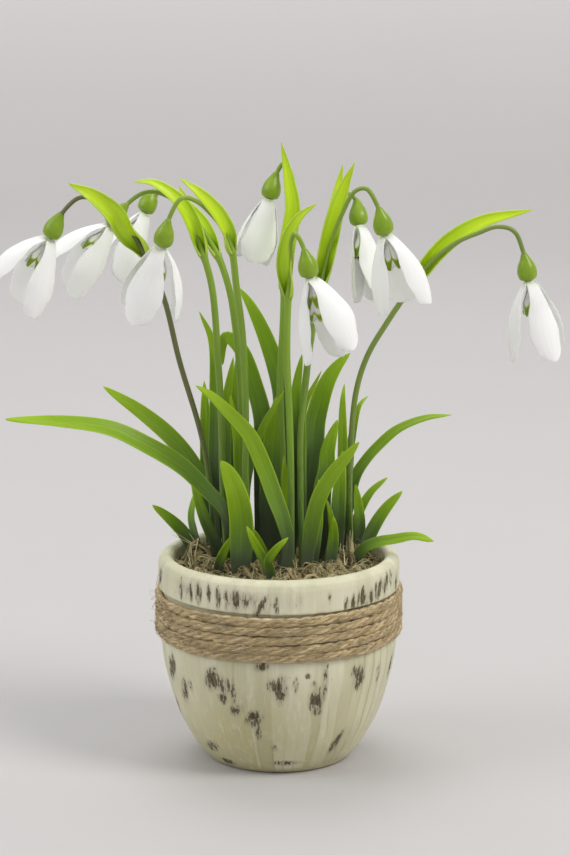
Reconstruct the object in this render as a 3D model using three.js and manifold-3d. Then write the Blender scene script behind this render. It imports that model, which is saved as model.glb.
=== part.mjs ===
// A clump of nine snowdrops with strap leaves, standing in coir-covered soil in a small
// round pot that has five turns of jute twine around it.
// Millimetres, +Z up. The origin is the centre of the pot's foot, and -Y faces the viewer.

import * as THREE from 'three';
import { mergeVertices } from 'three/addons/utils/BufferGeometryUtils.js';
import Module from 'manifold-3d';

const wasm = await Module();
wasm.setup();

// ---------------------------------------------------------------- driving dimensions

const GAP = 0.3;            // clearance between pieces that touch on the real object

const POT_SIDES = 36;
// Belly of the pot as [radius, height], from the edge of the foot up to the twine.
const POT_BELLY = [[26, 0], [30.5, 5], [36.9, 17], [41.4, 32], [43, 41], [43.2, 46]];
const POT_BELLY_STEPS = 6;
const POT_WAIST = 42.4;     // radius under the twine
const POT_HEIGHT = 76;
const POT_FLOOR = 6;        // thickness of the bottom
// The rim from the upper edge of the twine, up its plain band and over the lip.
const POT_RIM = [[42.4, 63.7], [44, 64], [44.2, 72.5], [43, 75], [41.4, 76], [39.5, 76], [38.7, 74.8]];
// Inside of the pot as [radius, height], from the middle of the floor up to the mouth.
const POT_INSIDE = [[21, 6], [29, 11], [34.5, 22], [37, 34], [38, 50], [38.4, 66]];
const POT_INSIDE_STEPS = 5;

const TWINE_TURNS = 5;
const TWINE_PITCH = 3.4;    // height that one turn takes
const TWINE_THICK = 2.3;    // across the twine, out from the pot
const TWINE_TALL = 3.2;     // along the pot
const TWINE_BOTTOM = 46.6;  // underside of the lowest turn
const TWINE_CLEAR = 0.45;   // between the pot and the twine
const TWINE_STEPS = 26;     // steps in one turn
const TWINE_SIDES = 6;
const TWINE_START = 0.35;   // where the twine starts, as a share of a turn from +X

const SOIL_TOP = 63;        // flat top of the soil
const COIR_TOP = 68.5;      // mean height of the coir layer
const COIR_LUMP = 1.2;      // how far its lumps rise and fall
const COIR_SIDES = 24;
const COIR_RINGS = 3;
const BEND_WEIGHT = 0.3;    // how much closer rings lie on a bend, for each radian
const BEND_SAMPLES = 120;   // points at which a curve's bends are read
const ROOT_LEVELS = [56, 64, 70.5]; // leaves and stems stand straight between these heights
const FAN_HEIGHT = 150;     // height above the coir where the clump has twice its depth
const BACK_DROP = 0.21;     // how far a point comes down for each millimetre it moves back
const BACK_SPREAD = 0.001;  // and how far it moves out sideways, as a share of its x
const SOIL_PLAY = 0.35;     // room around a root in the soil
const COIR_PLAY = 0.9;      // room around it in the loose coir

const SCAPE_RADIUS = 1.25;  // flower stalk below the spathe
const PEDICEL_RADIUS = 0.85;
const STALK_THINNING = 8;   // length over which the scape thins to the pedicel
const STALK_SIDES = 6;
const STALK_STEPS = 13;
const STATION_GAP = 2;      // least distance from a bend's ring to the ovary's first
// Green ovary as [distance back from its end, radius].
const OVARY = [[0, 2.4], [1.2, 3.15], [3.3, 3.5], [5.8, 3], [8, 1.95], [10, 1.05]];
const SPATHE_THICK = 1.1;
const SPATHE_THINNING = 0.35; // share of its thickness that it loses by the tip
const SPATHE_FOOT = 0.15;   // share of its swelling outline that its foot starts at
const SPATHE_KEEL = 0.3;    // how far its edges rise at the foot, as a share of its width
const SPATHE_STEPS = 6;

const LEAF_THICK = 1.2;
const LEAF_THINNING = 0.4;  // share of its thickness that it loses by the tip
const LEAF_TIP = 0.5;       // width left at the very tip
const LEAF_FOOT = 0.56;     // width at the foot, as a share of the full width
const LEAF_WIDENING = [0.1, 0.5]; // shares of its length between which it widens
const LEAF_KEEL = 0.16;     // how far the edges rise beside the midrib, as a share of width
const LEAF_FOLDING = [0.05, 0.4]; // shares of its length between which the keel forms
const LEAF_RING_GAP = 12;   // length of blade for each ring
const LEAF_RINGS = [5, 11]; // fewest and most

const TEPAL_THICK = 0.75;
const TEPAL_WIDTH = 13.5;
const TEPAL_HOLLOW = 0.22;  // depth of its spoon, as a share of its width
const TEPAL_START = 1.3;    // how far from the axis it leaves the hub
const TEPAL_DOWN = 0.8;     // and how far down the axis
const TEPAL_FLAT = 0.4;     // share of its half width that is nearly flat
const TEPAL_TURN_IN = 1.15; // how much of its opening it loses by the tip
// Outline of a tepal as [share of its length, share of its width].
const TEPAL_OUTLINE = [[0, 0.2], [0.18, 0.44], [0.4, 0.84], [0.62, 1], [0.85, 0.8], [1, 0.28]];
const HUB_RADIUS = 2;       // knot that the tepals grow from
const HUB_SIDES = 6;
const HUB_STEPS = 4;
// The inner tepals close into a bell with three lobes: [distance below the hub, radius,
// drop of each lobe] down its outside and back up its inside.
const BELL = [[1.6, 0.7, 0], [5, 2.1, 0], [9.4, 2.9, 0.8], [9.2, 2.2, 0.8], [5, 0.6, 0]];
const BELL_SIDES = 6;

// Leaves. width is across the middle, lean is how far the tip leans back, face is where
// the blade's upper side looks as [degrees to the right of the viewer, degrees up], root
// is its place in the soil, and path runs from above the coir to the tip.
const LEAVES = [
  { width: 7.6, lean: -14, face: [0, 50], root: [-15, 2], path: [[-16.5, 1, 81], [-20, -1, 91.5],
    [-27, -3, 100], [-35.5, -5, 109], [-46.5, -7, 116.5], [-60.5, -8, 123.5],
    [-78.5, -9, 126.5], [-98, -10, 127.5]] },
  { width: 7, lean: 14, face: [-10, 40], root: [-23, 12], path: [[-24.5, 12, 85], [-26.5, 11, 94],
    [-31, 10, 104.5], [-38, 9, 115], [-49, 8, 125.5], [-64, 7, 136.5]] },
  { width: 6.2, lean: -12, face: [0, 30], root: [2, -12], path: [[3.5, -13, 82], [1.5, -14, 91.5],
    [-1, -14, 98.5], [-5, -14, 110], [-10.5, -14, 122.5], [-17, -14, 130],
    [-24.5, -13, 137], [-29.5, -12, 140]] },
  { width: 9, lean: -8, face: [10, 15], root: [-14, -14], path: [[-13.5, -15, 88], [-14, -16, 95.5],
    [-15.5, -17, 103], [-18, -17, 109.5], [-20.5, -17, 114]] },
  { width: 5, lean: 4, face: [-20, 40], root: [-31, 13], path: [[-32, 13, 74.5], [-35.5, 12, 80.5],
    [-41, 10, 86.5], [-46.5, 8, 91.5]] },
  { width: 4.5, lean: 3, face: [0, 20], root: [-20.5, 7], path: [[-24, 6, 79], [-27, 5, 86.5],
    [-30, 5, 96], [-32, 5, 102.5]] },
  { width: 4, lean: 6, face: [-40, 10], root: [-29.5, 19], path: [[-31.5, 19, 79], [-32.5, 19, 84],
    [-32, 18, 89.5], [-30.5, 17, 95]] },
  { width: 3.5, lean: -5, face: [0, 10], root: [-22, -8], path: [[-21.5, -8.5, 74], [-20, -9, 78],
    [-16, -10, 85.5]] },
  { width: 3.5, lean: -6, face: [20, 10], root: [-4, -15], path: [[-4.5, -15.5, 74], [-6, -16, 78],
    [-9, -17, 84.5], [-11.5, -17, 90]] },
  { width: 3.5, lean: -3, face: [20, 10], root: [-4, -8], path: [[-4.5, -8, 74.5], [-6, -8, 79],
    [-9, -8, 86.5]] },
  { width: 3.5, lean: -5, face: [-10, 20], root: [-2.5, -20], path: [[-3, -20.5, 74],
    [-3.5, -21, 78], [-0.5, -22, 83], [3.5, -22, 87]] },
  { width: 3.5, lean: -5, face: [0, 5], root: [0.5, -3], path: [[3.5, -3, 81], [3.5, -2, 92],
    [2.5, -1, 99.5], [2, -1, 112]] },
  { width: 6, lean: -12, face: [0, 20], root: [9.5, -11], path: [[11, -12, 81.5], [12.5, -13, 91],
    [15, -14, 100.5], [19.5, -14, 108.5], [25, -14, 115.5], [29, -13, 120]] },
  { width: 3.5, lean: 0, face: [10, 5], root: [12.5, -3], path: [[13.5, -4, 79.5], [14.5, -4, 89],
    [14.5, -4, 104]] },
  { width: 4.4, lean: 14, face: [0, 55], root: [24, 21.5], path: [[26.5, 22, 89], [28.5, 21, 99],
    [32.5, 20, 106], [37.5, 19, 112], [44, 18, 118], [54, 17, 122.5], [64, 16, 124]] },
  { width: 5, lean: -8, face: [0, 45], root: [28, 3], path: [[29.5, 2.5, 74], [32, 1.5, 77],
    [36.5, 0, 79.5], [42.5, -1, 81], [50, -2, 82.5], [56.5, -3, 81]] },
  { width: 5, lean: 6, face: [10, 30], root: [31.5, 12], path: [[33, 12, 77.5], [36.5, 11, 85],
    [40.5, 10, 91], [45.5, 9, 96.5]] },
  { width: 4.5, lean: 1, face: [10, 5], root: [30, 19], path: [[30, 19, 76], [30, 19, 84],
    [28.5, 19, 97]] },
  { width: 3.6, lean: 8, face: [0, 30], root: [26, 24], path: [[28, 23.5, 79], [31, 24, 87],
    [34.5, 23.5, 93], [40.5, 23, 98.5]] },
  { width: 8.4, lean: 10, face: [0, 10], root: [10, 14], path: [[10, 14, 84.5], [11, 14, 99.5],
    [12.5, 14, 111], [13.5, 14, 122.5], [17.5, 12, 136.5], [21.5, 11, 143.5],
    [26, 10, 148.5]] },
  { width: 4, lean: 4, face: [0, 5], root: [22, 11], path: [[23, 11, 93], [23.5, 11, 108],
    [23.5, 11, 130.5], [24, 11, 136.5]] },
  { width: 7, lean: 2, face: [0, 10], root: [16, 9], path: [[16, 9, 97], [17.5, 9, 104.5],
    [18, 9, 112], [21.5, 9, 123.5]] },
  { width: 5.5, lean: 0, face: [0, 0], root: [20.5, 6.5], path: [[21.5, 6.5, 80], [22, 6.5, 94],
    [23.5, 6.5, 112.5]] },
  { width: 3.5, lean: 8, face: [0, 20], root: [21.5, 25.5], path: [[23.5, 25.5, 82], [26, 23, 101.5],
    [27, 22, 113], [30, 20, 127], [33, 19, 130.5]] },
  { width: 7.4, lean: 12, face: [0, 15], root: [0, 15], path: [[1.5, 15, 107], [1.5, 15, 122],
    [1, 15, 133.5], [-4, 14, 151.5], [-10.5, 12, 166.5], [-14.5, 11, 173]] },
  { width: 4.5, lean: 12, face: [0, 10], root: [-19, 16], path: [[-23.5, 16, 99], [-23.5, 16, 129.5],
    [-24.5, 16, 152], [-29, 14, 163.5]] },
  { width: 7, lean: 8, face: [0, 20], root: [-7, 13], path: [[-6, 13, 103.5], [-6, 13, 123],
    [-8.5, 13, 134], [-14, 12.5, 149.5], [-19, 12, 154], [-20.5, 12, 151.5],
    [-20.5, 12, 143.5]] },
  { width: 4.5, lean: 0, face: [0, 5], root: [-16, 8], path: [[-19.5, 8, 101], [-19.5, 8, 116],
    [-19, 8, 131], [-16.5, 8, 147]] },
  { width: 5, lean: 6, face: [0, 5], root: [-12, 16], path: [[-16, 16, 107], [-16, 16, 122],
    [-15.5, 15, 146]] },
  { width: 4, lean: -6, face: [0, 10], root: [-9, -1], path: [[-14.3, -0.4, 107], [-15, -0.6, 118],
    [-17.5, -1, 134.5]] },
  { width: 5, lean: 10, face: [0, 5], root: [-25, 19], path: [[-26.5, 19, 91.5], [-27, 19, 114.5],
    [-27.5, 18, 136.5]] },
  { width: 3.5, lean: -4, face: [-20, 10], root: [-8, 5], path: [[-12, 5, 94], [-10.5, 4, 107.5],
    [-7.5, 2, 117.5], [-4, 0, 126], [2, -1, 136]] },
  { width: 8.8, lean: 0, face: [0, 5], root: [-3, 9], path: [[-3, 9, 93.5], [-2.5, 9, 104.5],
    [-2, 9, 116], [-0.5, 9, 132.5]] },
  { width: 5.2, lean: 8, face: [0, 5], root: [5, 18], path: [[6.5, 18, 99.5], [6.5, 18, 122],
    [6.5, 17, 133.5], [8.5, 16, 147]] },
  { width: 3.2, lean: -4, face: [0, 5], root: [9, 2], path: [[8.5, 2, 102.5], [8.5, 2, 117.5],
    [9, 2, 128.5], [15.5, 2, 143]] },
  { width: 4.5, lean: -1, face: [10, 5], root: [18.5, 0], path: [[19.6, 0, 77], [20, 0, 83],
    [20, -1, 89.5]] },
  { width: 3, lean: 0, face: [10, 5], root: [17, 4], path: [[19.5, 3.5, 81], [19, 3, 89],
    [17.5, 3, 95]] },
  { width: 6, lean: 0, face: [0, 50], root: [7, 24], path: [[7.5, 26, 86], [8.5, 30, 98],
    [10, 36, 106], [12, 44, 108.5], [14, 53, 105]] },
];

// Flowers. root is the stalk's place in the soil, scape runs up to the foot of the
// spathe, pedicel runs from there over to the end of the ovary, spathe runs from its
// foot to its tip, and face is where the spathe's open side looks. tepals.turns are the
// ways the three outer tepals lie, in degrees right of the viewer, tepals.spread is how far
// each one opens there, and stout is how thick the stalk is beside SCAPE_RADIUS.
const FLOWERS = [
  { root: [-24, 8], scape: [[-25, 8, 95], [-28, 6, 117], [-36, 2, 147], [-41, -3, 170],
    [-47.5, -8, 187]],
    pedicel: [[-54, -10, 197], [-59, -11, 202], [-64, -11, 206], [-70, -12, 207],
      [-76, -12, 202], [-81, -12, 193]],
    spathe: [[-53, -10.5, 195], [-57, -12, 201], [-65, -13, 207.5], [-74, -14, 212]],
    spatheWidth: 7.5, face: [-30, 20], tepals: { turns: [50, 170, 290], spread: [44, 30, 62], length: 29 },
    stout: 0.85 },
  { root: [-19, 4], scape: [[-20.5, 4, 100], [-21, 4, 128], [-22, 4, 147], [-24, 4, 173],
    [-27, 4, 185]],
    pedicel: [[-31, 4, 196], [-36, 3, 204], [-43, 2, 208], [-48, 2, 208], [-54, 2, 204],
      [-60.5, 2, 196]],
    spathe: [[-31, 3, 197], [-36, 2, 205], [-45, 1, 211.5], [-52, 0, 212]],
    spatheWidth: 5.5, face: [0, 30], tepals: { turns: [42, 162, 282], spread: [36, 34, 52], length: 29 },
    stout: 1.06 },
  { root: [-13, 10], scape: [[-13.5, 10, 100], [-14, 9, 138], [-16, 9, 160], [-18, 10, 172],
    [-22, 11, 184]],
    pedicel: [[-29, 13, 196], [-35, 15, 204], [-40, 17, 207.5], [-45, 18, 207],
      [-49, 18, 199.5]],
    spathe: [[-28, 13, 196], [-33, 13, 203], [-36, 13, 210]],
    spatheWidth: 5, face: [20, 10], tepals: { turns: [30, 150, 270], spread: [34, 32, 36], length: 27 },
    stout: 1.06 },
  { root: [-11, -4], scape: [[-12, -4, 110], [-12, -4, 133], [-13, -6, 158], [-15, -8, 175],
    [-16.5, -10, 188]],
    pedicel: [[-19, -12, 195], [-23, -13, 200.5], [-29, -15, 206], [-34, -17, 207],
      [-38, -18, 201], [-41, -18, 190.5]],
    spathe: [[-18, -12, 194], [-22, -13, 202], [-29, -14, 209.5], [-35, -14, 214]],
    spatheWidth: 5.5, face: [30, 20], tepals: { turns: [340, 100, 220], spread: [28, 52, 46], length: 29 },
    stout: 1.08 },
  { root: [3, 4], scape: [[1.5, 3, 110], [0.5, 2, 140], [1.5, 2, 158], [2, 2, 173]],
    pedicel: [[2.5, 3, 187], [5, 6, 203], [5, 9, 213], [2, 11, 218.5], [-1, 12, 214],
      [-3.5, 12, 205]],
    spathe: [[3, 1, 188], [5, 0, 202], [4, 0, 211], [1, 0, 226]],
    spatheWidth: 6, face: [0, 5], tepals: { turns: [5, 125, 245], spread: [26, 32, 36], length: 24 },
    stout: 1.06 },
  { root: [4.5, -7], scape: [[4.5, -7, 100], [4, -7, 126], [3, -8, 151], [3.5, -10, 172]],
    pedicel: [[4.5, -13, 184], [4.5, -16, 192], [6, -18.5, 195], [8.5, -19, 191],
      [11.2, -20, 180]],
    spathe: [[2.5, -12, 184], [4, -14, 194], [8, -15, 201], [13.5, -15, 205]],
    spatheWidth: 5.5, face: [-20, 10], tepals: { turns: [38, 134, 278], spread: [66, 20, 32], length: 31 },
    stout: 1.06 },
  { root: [9, 7], scape: [[9, 8, 110], [9, 8, 131], [13, 8, 161], [16, 8, 177]],
    pedicel: [[19, 9, 190], [22, 12, 202], [24.5, 14, 207], [27.7, 15, 205],
      [29.2, 14, 195]],
    spathe: [[18, 7, 190], [20.5, 7, 205], [23, 7, 218]],
    spatheWidth: 5, face: [0, 5], tepals: { turns: [48, 150, 255], spread: [30, 30, 20], length: 28 },
    stout: 1 },
  { root: [8.5, -3], scape: [[8, -3, 100], [8, -3, 122], [10, -4, 141], [12, -5, 161],
    [15, -5, 175]],
    pedicel: [[18.5, -7, 190], [22.5, -9, 201], [27, -10, 209], [31, -11, 210],
      [35, -12, 204], [37.8, -12, 194]],
    spathe: [[17.5, -6, 188], [20, -6, 200], [23.5, -6, 211], [27, -6, 219]],
    spatheWidth: 6.5, face: [0, 5], tepals: { turns: [62, 172, 290], spread: [46, 34, 40], length: 29 },
    stout: 0.95 },
  { root: [26.5, 9], scape: [[26.5, 8, 79], [26, 3, 91], [26, -2, 112], [28, -2, 136],
    [32, -1, 149], [39, 0, 161], [47, 0, 173]],
    pedicel: [[54, -1, 182.5], [63, -2, 190], [72, -2, 194], [78, -2, 196],
      [84, -2, 194.5], [87.5, -2, 187], [89.6, -2, 176.5]],
    spathe: [[55, 0, 184], [62, 0, 191], [73, 0, 197.5], [91, 0, 202]],
    spatheWidth: 6, face: [0, 20], tepals: { turns: [38, 140, 276], spread: [26, 42, 46], length: 30 },
    stout: 0.88 },
];

const COLOURS = {
  pot: new THREE.MeshStandardMaterial({ color: 0xcfc9a8, roughness: 0.8, metalness: 0 }),
  twine: new THREE.MeshStandardMaterial({ color: 0xa98a62, roughness: 0.95, metalness: 0 }),
  soil: new THREE.MeshStandardMaterial({ color: 0x4a3b2c, roughness: 1, metalness: 0 }),
  coir: new THREE.MeshStandardMaterial({ color: 0x8a7350, roughness: 1, metalness: 0 }),
  leaf: new THREE.MeshStandardMaterial({ color: 0x6f9a28, roughness: 0.5, metalness: 0 }),
  stem: new THREE.MeshStandardMaterial({ color: 0x7f9c34, roughness: 0.5, metalness: 0 }),
  bloom: new THREE.MeshStandardMaterial({ color: 0xf2f2ec, roughness: 0.6, metalness: 0 }),
};

// ---------------------------------------------------------------- solids and booleans

function toSolid(geometry) {
  const bare = geometry.clone();
  bare.deleteAttribute('normal');
  bare.deleteAttribute('uv');
  const merged = mergeVertices(bare, 1e-4);
  return new wasm.Manifold(new wasm.Mesh({
    numProp: 3,
    vertProperties: new Float32Array(merged.attributes.position.array),
    triVerts: new Uint32Array(merged.index.array),
  }));
}

function toGeometry(solid) {
  const mesh = solid.getMesh();
  const geometry = new THREE.BufferGeometry();
  geometry.setAttribute('position', new THREE.BufferAttribute(mesh.vertProperties, 3));
  geometry.setIndex(new THREE.BufferAttribute(mesh.triVerts, 1));
  geometry.computeVertexNormals();
  return geometry;
}

// The largest shell of a solid: without loose scraps, and with sealed hollows filled.
function mainBody(solid) {
  const bodies = solid.decompose().sort((a, b) => b.volume() - a.volume());
  return toGeometry(bodies[0]);
}

function join(geometries) {
  const [first, ...rest] = geometries.map(toSolid);
  return mainBody(rest.reduce((whole, piece) => whole.add(piece), first));
}

function cut(geometry, tools) {
  return mainBody(tools.map(toSolid).reduce((left, tool) => left.subtract(tool), toSolid(geometry)));
}

// A closed solid through rings that all have the same even number of points. Point i of
// a ring faces point n - 1 - i, and both sides of a thin blade are split the same way.
function loft(rings) {
  const count = rings[0].length;
  const half = count / 2;
  const corners = rings.flat().flatMap((point) => [point.x, point.y, point.z]);
  const faces = [];
  for (let ring = 0; ring < rings.length - 1; ring++) {
    for (let i = 0; i < count; i++) {
      const next = (i + 1) % count;
      const [a, b] = [ring * count + i, ring * count + next];
      const [c, d] = [a + count, b + count];
      if (i < half) faces.push(a, b, d, a, d, c);
      else faces.push(a, b, c, b, d, c);
    }
  }
  const last = (rings.length - 1) * count;
  for (let i = 0; i < half - 1; i++) {
    const [a, b, c, d] = [i, i + 1, count - 2 - i, count - 1 - i];
    faces.push(a, c, b, a, d, c);
    faces.push(last + a, last + b, last + c, last + a, last + c, last + d);
  }
  const geometry = new THREE.BufferGeometry();
  geometry.setAttribute('position', new THREE.BufferAttribute(new Float32Array(corners), 3));
  geometry.setIndex(faces);
  geometry.computeVertexNormals();
  return geometry;
}

const curveThrough = (points) => new THREE.CatmullRomCurve3(points, false, 'centripetal');

// Shares of a curve's length for its rings, closer together where it bends.
function bendShares(curve, steps) {
  const tangent = (sample) => curve.getTangentAt(sample / BEND_SAMPLES);
  const weights = [0];
  for (let i = 1; i <= BEND_SAMPLES; i++) {
    const bend = tangent(i - 1).angleTo(tangent(i));
    weights.push(weights.at(-1) + 1 / BEND_SAMPLES + BEND_WEIGHT * bend);
  }
  const shares = [0];
  for (let step = 1; step < steps; step++) {
    const wanted = weights.at(-1) * step / steps;
    shares.push(weights.findIndex((weight) => weight >= wanted) / BEND_SAMPLES);
  }
  return [...shares, 1];
}

// A direction that looks so many degrees to the right of the viewer and so many up.
function direction([right, up]) {
  const [turn, lift] = [THREE.MathUtils.degToRad(right), THREE.MathUtils.degToRad(up)];
  return new THREE.Vector3(
    Math.sin(turn) * Math.cos(lift), -Math.cos(turn) * Math.cos(lift), Math.sin(lift));
}

// Where a point of the tables above stands: the clump fans out in depth with its height,
// and keeps its outline as it is seen from the front. back moves the point further back.
function standing([x, y, z], back = 0) {
  const rise = (z - ROOT_LEVELS.at(-1)) / FAN_HEIGHT;
  const shift = y * rise * rise + back;
  return new THREE.Vector3(x * (1 + BACK_SPREAD * shift), y + shift, z - BACK_DROP * shift);
}

function rootPoints([x, y]) {
  return ROOT_LEVELS.map((height) => new THREE.Vector3(x, y, height));
}

// ---------------------------------------------------------------- pot, twine, soil

function lathe(profile, sides) {
  const points = profile.map(([radius, height]) => new THREE.Vector2(radius, height));
  const geometry = new THREE.LatheGeometry(points, sides);
  geometry.rotateX(Math.PI / 2);
  return geometry;
}

const bellyProfile = new THREE.SplineCurve(POT_BELLY.map((point) => new THREE.Vector2(...point)));
const insideProfile = new THREE.SplineCurve(POT_INSIDE.map((point) => new THREE.Vector2(...point)));

function makePot() {
  const belly = bellyProfile.getPoints(POT_BELLY_STEPS).map((point) => [point.x, point.y]);
  const inside = insideProfile.getPoints(POT_INSIDE_STEPS).map((point) => [point.x, point.y]);
  return lathe([
    [0, 0],
    ...belly,
    [POT_WAIST, TWINE_BOTTOM],
    ...POT_RIM,
    ...inside.reverse(),
    [0, POT_FLOOR],
  ], POT_SIDES);
}

// One length of twine wound in a helix, so that its turns lie a pitch apart.
function makeTwine() {
  const radius = POT_WAIST + TWINE_CLEAR + TWINE_THICK / 2;
  const steps = TWINE_TURNS * TWINE_STEPS;
  const firstHeight = TWINE_BOTTOM + TWINE_TALL / 2;
  const rings = [];
  for (let step = 0; step <= steps; step++) {
    const turn = step / TWINE_STEPS;
    const angle = 2 * Math.PI * (turn + TWINE_START);
    const out = new THREE.Vector3(Math.cos(angle), Math.sin(angle), 0);
    // The first and last turns level out against the band's lower and upper edges.
    const climb = THREE.MathUtils.clamp(turn, 0.5, TWINE_TURNS - 0.5) - 0.5;
    const height = firstHeight + climb * TWINE_PITCH;
    const centre = out.clone().multiplyScalar(radius).setZ(height);
    const ring = [];
    for (let side = 0; side < TWINE_SIDES; side++) {
      const around = 2 * Math.PI * (side + 0.5) / TWINE_SIDES;
      ring.push(centre.clone()
        .addScaledVector(out, Math.cos(around) * TWINE_THICK / 2)
        .add(new THREE.Vector3(0, 0, -Math.sin(around) * TWINE_TALL / 2)));
    }
    rings.push(ring);
  }
  return loft(rings);
}

// A straight hole, a little larger than the foot that stands in it.
function plainHole({ root, halfWidth, halfThickness, turn, sides }, play) {
  const bottom = ROOT_LEVELS[0] - GAP;
  const height = POT_HEIGHT - bottom;
  const corner = 1 / Math.cos(Math.PI / sides);
  const hole = new THREE.CylinderGeometry(corner, corner, height, sides);
  hole.rotateX(Math.PI / 2);
  hole.rotateZ(Math.PI / sides);
  hole.scale(halfWidth + play, halfThickness + play, 1);
  hole.rotateZ(THREE.MathUtils.degToRad(turn));
  hole.translate(root[0], root[1], bottom + height / 2);
  return hole;
}

function makeSoil(feet) {
  const inside = insideProfile.getPoints(POT_INSIDE_STEPS).filter((point) => point.y < SOIL_TOP);
  const edge = inside.at(-1).x;
  const soil = lathe([
    [0, POT_FLOOR + GAP],
    ...inside.map((point) => [point.x - GAP, Math.max(point.y, POT_FLOOR + GAP)]),
    [edge - GAP, SOIL_TOP],
    [0, SOIL_TOP],
  ], POT_SIDES);
  return cut(soil, feet.map((foot) => plainHole(foot, SOIL_PLAY)));
}

// Height of the coir at a place, in lumps as big as a fingertip.
function coirHeight(x, y) {
  const lumps = Math.sin(x * 0.33 + 1.1) * Math.cos(y * 0.29 - 0.6)
    + 0.6 * Math.sin(x * 0.71 - y * 0.53 + 2);
  return COIR_TOP + COIR_LUMP * lumps;
}

function makeCoir(feet) {
  const edge = POT_INSIDE.at(-1)[0] - 2 * GAP;
  const profile = [[0, SOIL_TOP + GAP], [edge, SOIL_TOP + GAP]];
  for (let ring = COIR_RINGS; ring >= 0; ring--) profile.push([edge * ring / COIR_RINGS, COIR_TOP]);
  const coir = lathe(profile, COIR_SIDES);
  const place = coir.attributes.position;
  for (let i = 0; i < place.count; i++) {
    if (place.getZ(i) > COIR_TOP - 0.1) place.setZ(i, coirHeight(place.getX(i), place.getY(i)));
  }
  return cut(coir, feet.map((foot) => plainHole(foot, COIR_PLAY)));
}

// ---------------------------------------------------------------- leaves

// Six points across a keeled blade: along the upper side, and back along the lower one.
function bladeRing(centre, tangent, face, width, thickness, keel) {
  const across = tangent.clone().cross(face).normalize();
  const up = across.clone().cross(tangent).normalize();
  const at = (side, lift) => centre.clone()
    .addScaledVector(across, side * width / 2)
    .addScaledVector(up, lift);
  const [rise, top] = [keel * width, thickness / 2];
  return [at(-1, rise + top), at(0, top), at(1, rise + top),
    at(1, rise - top), at(0, -top), at(-1, rise - top)];
}

// A blade is narrow at its foot, widest past the middle, and tapers late to its tip.
function leafWidth(leaf, share) {
  const widening = THREE.MathUtils.smoothstep(share, ...LEAF_WIDENING);
  const waist = THREE.MathUtils.lerp(LEAF_FOOT, 1, widening);
  return Math.max(leaf.width * waist * (1 - share ** 6) ** 0.8, LEAF_TIP);
}

function makeLeaf(leaf) {
  const path = leaf.path.map((point, i) => {
    return standing(point, leaf.lean * ((i + 1) / leaf.path.length) ** 2);
  });
  const curve = curveThrough([...rootPoints(leaf.root), ...path]);
  const steps = THREE.MathUtils.clamp(Math.round(curve.getLength() / LEAF_RING_GAP), ...LEAF_RINGS);
  const face = direction(leaf.face);
  return loft(bendShares(curve, steps).map((share) => {
    const thickness = LEAF_THICK * (1 - LEAF_THINNING * share);
    const folding = THREE.MathUtils.smoothstep(share, ...LEAF_FOLDING);
    const keel = LEAF_KEEL * folding * (1 - share * share);
    return bladeRing(curve.getPointAt(share), curve.getTangentAt(share), face,
      leafWidth(leaf, share), thickness, keel);
  }));
}

function leafFoot(leaf) {
  return {
    root: leaf.root,
    halfWidth: leafWidth(leaf, 0) / 2,
    halfThickness: LEAF_THICK / 2,
    turn: leaf.face[0],
    sides: 4,
  };
}

// ---------------------------------------------------------------- flower stalks

// Radius of the stalk at a distance along it, with the ovary swelling at its end.
function stalkRadius(distance, nodeDistance, length, stout) {
  const back = length - distance;
  for (let i = 1; i < OVARY.length; i++) {
    const [[near, nearRadius], [far, farRadius]] = [OVARY[i - 1], OVARY[i]];
    if (back <= far) return THREE.MathUtils.mapLinear(back, near, far, nearRadius, farRadius);
  }
  const above = THREE.MathUtils.smoothstep(distance, nodeDistance, nodeDistance + STALK_THINNING);
  return THREE.MathUtils.lerp(SCAPE_RADIUS * stout, PEDICEL_RADIUS, above);
}

function stalkCurve(flower) {
  const path = [...flower.scape, ...flower.pedicel].map((point) => standing(point));
  return curveThrough([...rootPoints(flower.root), ...path]);
}

function scapeLengthOf(flower) {
  const path = flower.scape.map((point) => standing(point));
  return curveThrough([...rootPoints(flower.root), ...path]).getLength();
}

// Distances along the stalk where it gets a ring, with one at each height of the ovary.
function stalkStations(curve) {
  const length = curve.getLength();
  const ovaryStart = length - OVARY.at(-1)[0];
  const bends = bendShares(curve, STALK_STEPS).map((share) => share * length);
  const heights = OVARY.map(([back]) => length - back).reverse();
  return [...bends.filter((distance) => distance < ovaryStart - STATION_GAP), ...heights];
}

function makeStalk(flower) {
  const curve = stalkCurve(flower);
  const length = curve.getLength();
  const scapeLength = scapeLengthOf(flower);
  let across = new THREE.Vector3(1, 0, 0);
  const rings = stalkStations(curve).map((distance) => {
    const share = distance / length;
    const tangent = curve.getTangentAt(share);
    across = across.clone().projectOnPlane(tangent).normalize();
    const along = tangent.clone().cross(across);
    const radius = stalkRadius(distance, scapeLength, length, flower.stout);
    const ring = [];
    for (let side = 0; side < STALK_SIDES; side++) {
      const angle = 2 * Math.PI * side / STALK_SIDES;
      ring.push(curve.getPointAt(share)
        .addScaledVector(across, Math.cos(angle) * radius)
        .addScaledVector(along, Math.sin(angle) * radius));
    }
    return ring;
  });
  return loft(rings);
}

function stalkFoot(flower) {
  return {
    root: flower.root,
    halfWidth: SCAPE_RADIUS * flower.stout,
    halfThickness: SCAPE_RADIUS * flower.stout,
    turn: 0,
    sides: STALK_SIDES,
  };
}

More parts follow.
